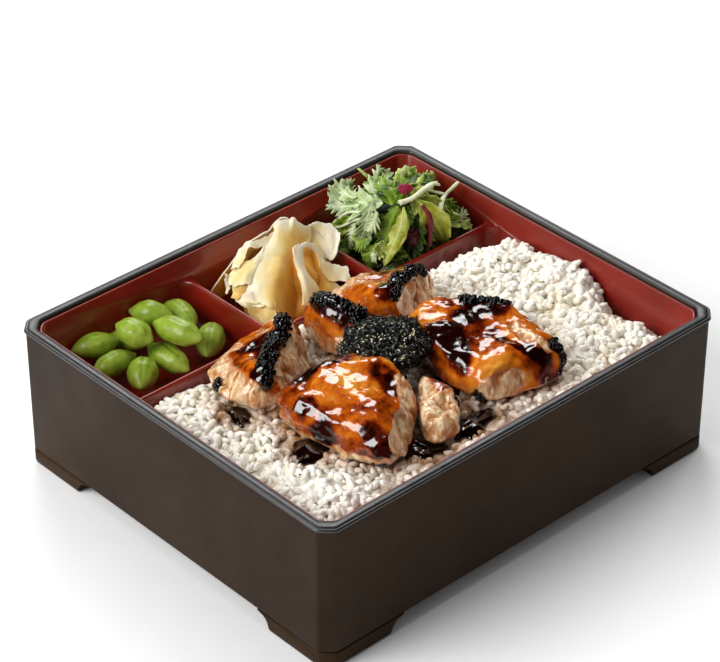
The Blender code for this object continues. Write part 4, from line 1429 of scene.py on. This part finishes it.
def leafBlade(kind, width, spots, seed, lean):
    sweep, ruffle = leafForm[kind][2:]
    line, ahead, side, up = ribFrame(spots, leafLook["ribSteps"] // (len(spots) - 1), lean)
    rows = len(line)
    t = np.linspace(0, 1, rows)[:, None]
    u = np.linspace(-1, 1, leafLook["halfAcross"] * 2 + 1)[None, :]
    spread = leafSpread(kind, t, u, seed)
    half = width * 0.0005
    reach = u * half * spread
    flat = np.stack(np.broadcast_arrays(t * 5 + seed, u * 2.2, 0 * t * u), axis=2).reshape(-1, 3)
    wave = noiseAt(flat, 1).reshape(rows, -1)
    frill = np.sin(t * 34 + seed * 2 + 2 * wave) * np.abs(u) ** 2
    cup = 0.32 * half * (u * u) * spread * math.cos(seed * 2.3)
    lift = 0.0013 * wave * np.abs(u) * ruffle + 0.0006 * ruffle * frill - cup
    forward = np.abs(u) ** 1.4 * sweep * half * spread
    grid = line[:, None, :] + side[:, None, :] * reach[:, :, None]
    grid = grid + ahead[:, None, :] * forward[:, :, None] + up[:, None, :] * lift[:, :, None]
    rib = np.where(t < 0.92, 1 - np.minimum(1.0, np.abs(reach) / leafLook["ribWidth"]), 0.0)
    return gridMesh("blade", grid, rib=rib, tip=np.maximum(np.abs(u) + 0 * t, t + 0 * u))


def leafStem(width, spots, seed, lean):
    line, _, side, up = ribFrame(spots, leafLook["stemSteps"], lean)
    t = np.linspace(0, 1, len(line))[:, None]
    turn = np.linspace(0, math.tau, leafLook["stemAround"])[None, :]
    girth = width * 0.0005 * (1.12 - 0.25 * t + 0.10 * np.sin(t * 9 + seed))
    girth = girth * np.minimum(1, (1.02 - t) * 9 + 0.35)
    grid = line[:, None, :] + side[:, None, :] * (girth * np.cos(turn))[:, :, None]
    grid = grid + up[:, None, :] * (girth * leafLook["stemFlat"] * np.sin(turn))[:, :, None]
    bm = bmesh.new()
    bm.from_mesh(gridMesh("tube", grid, rib=0.3 + 0 * t + 0 * turn, tip=0.5 * t + 0 * turn))
    bmesh.ops.remove_doubles(bm, verts=bm.verts, dist=2e-6)
    bmesh.ops.holes_fill(bm, edges=bm.edges, sides=0)
    return closedMesh(bm, "stem")


def fillerLeaves(look):
    # more leaves set in a spiral over the heap, steeper towards its rim
    chance = np.random.RandomState(11)
    low, high = (np.array(corner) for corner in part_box("salad_heap"))
    size = (high - low) * 1000
    made = []
    for index in range(look["fillers"]):
        turn = math.tau * (index * 0.381966 % 1.0)
        share = math.sqrt((index + 0.5) / look["fillers"])
        heading = turn + chance.uniform(-0.6, 0.6)
        base = size * (0.5 + 0.34 * share * math.cos(turn), 0.5 + 0.34 * share * math.sin(turn),
                       0.80 - 0.48 * share ** 2)
        base[2] -= chance.uniform(0, 3)
        pitch = 0.5 - 1.2 * share + chance.uniform(-0.35, 0.35)
        length = chance.uniform(*look["fillerLong"])
        spots = [base]
        for _ in range(3):
            flat = math.cos(pitch)
            run = np.array([math.cos(heading) * flat, math.sin(heading) * flat, math.sin(pitch)])
            spots.append(spots[-1] + run * length / 3)
            pitch -= chance.uniform(0.2, 0.6)
            heading += chance.uniform(-0.4, 0.4)
        kind = look["fillerKinds"][index % len(look["fillerKinds"])]
        outX = math.cos(turn) * share + chance.uniform(-0.4, 0.4)
        outY = math.sin(turn) * share + chance.uniform(-0.4, 0.4)
        made.append((kind, chance.uniform(*look["fillerWide"]), spots, (outX, outY, 0.9)))
    return made


def buildSalad(look):
    byKind = {}
    chosen = [(kind, width, spots, look["lean"]) for kind, width, spots in saladLeaves] + fillerLeaves(look)
    for index, (kind, width, spots, lean) in enumerate(chosen):
        sway = np.array([math.sin(index * 2.1), math.cos(index * 1.7), 0])
        lean = np.array(lean) + look["leanSway"] * sway
        if kind in leafForm:
            made = thickened(leafBlade(kind, width, spots, 2.3 * index + 0.7, lean), look["thick"], "blade")
        else:
            made = leafStem(width, spots, index * 1.9, lean)
        byKind.setdefault(kind, []).append(made)
    finishes = {kind: leafMaterial(kind) for kind in byKind}
    core = shrunkCore("salad_heap", look["core"])
    plain = np.zeros(len(core.vertices))
    writeValues(core, rib=plain, tip=plain)
    # the core, seen only between leaves, takes the dark leaf finish: painted shade
    addPiece("salad.core", core, finishes["dark"], ("salad_heap",))
    for kind, meshes in byKind.items():
        mesh = joined(meshes, "salad." + kind)
        writePoints(mesh, underTop(keptInCell(readPoints(mesh)[0], "salad")))
        addPiece("salad." + kind, mesh, finishes[kind])


buildSalad(leafLook)
print("stage: salad")
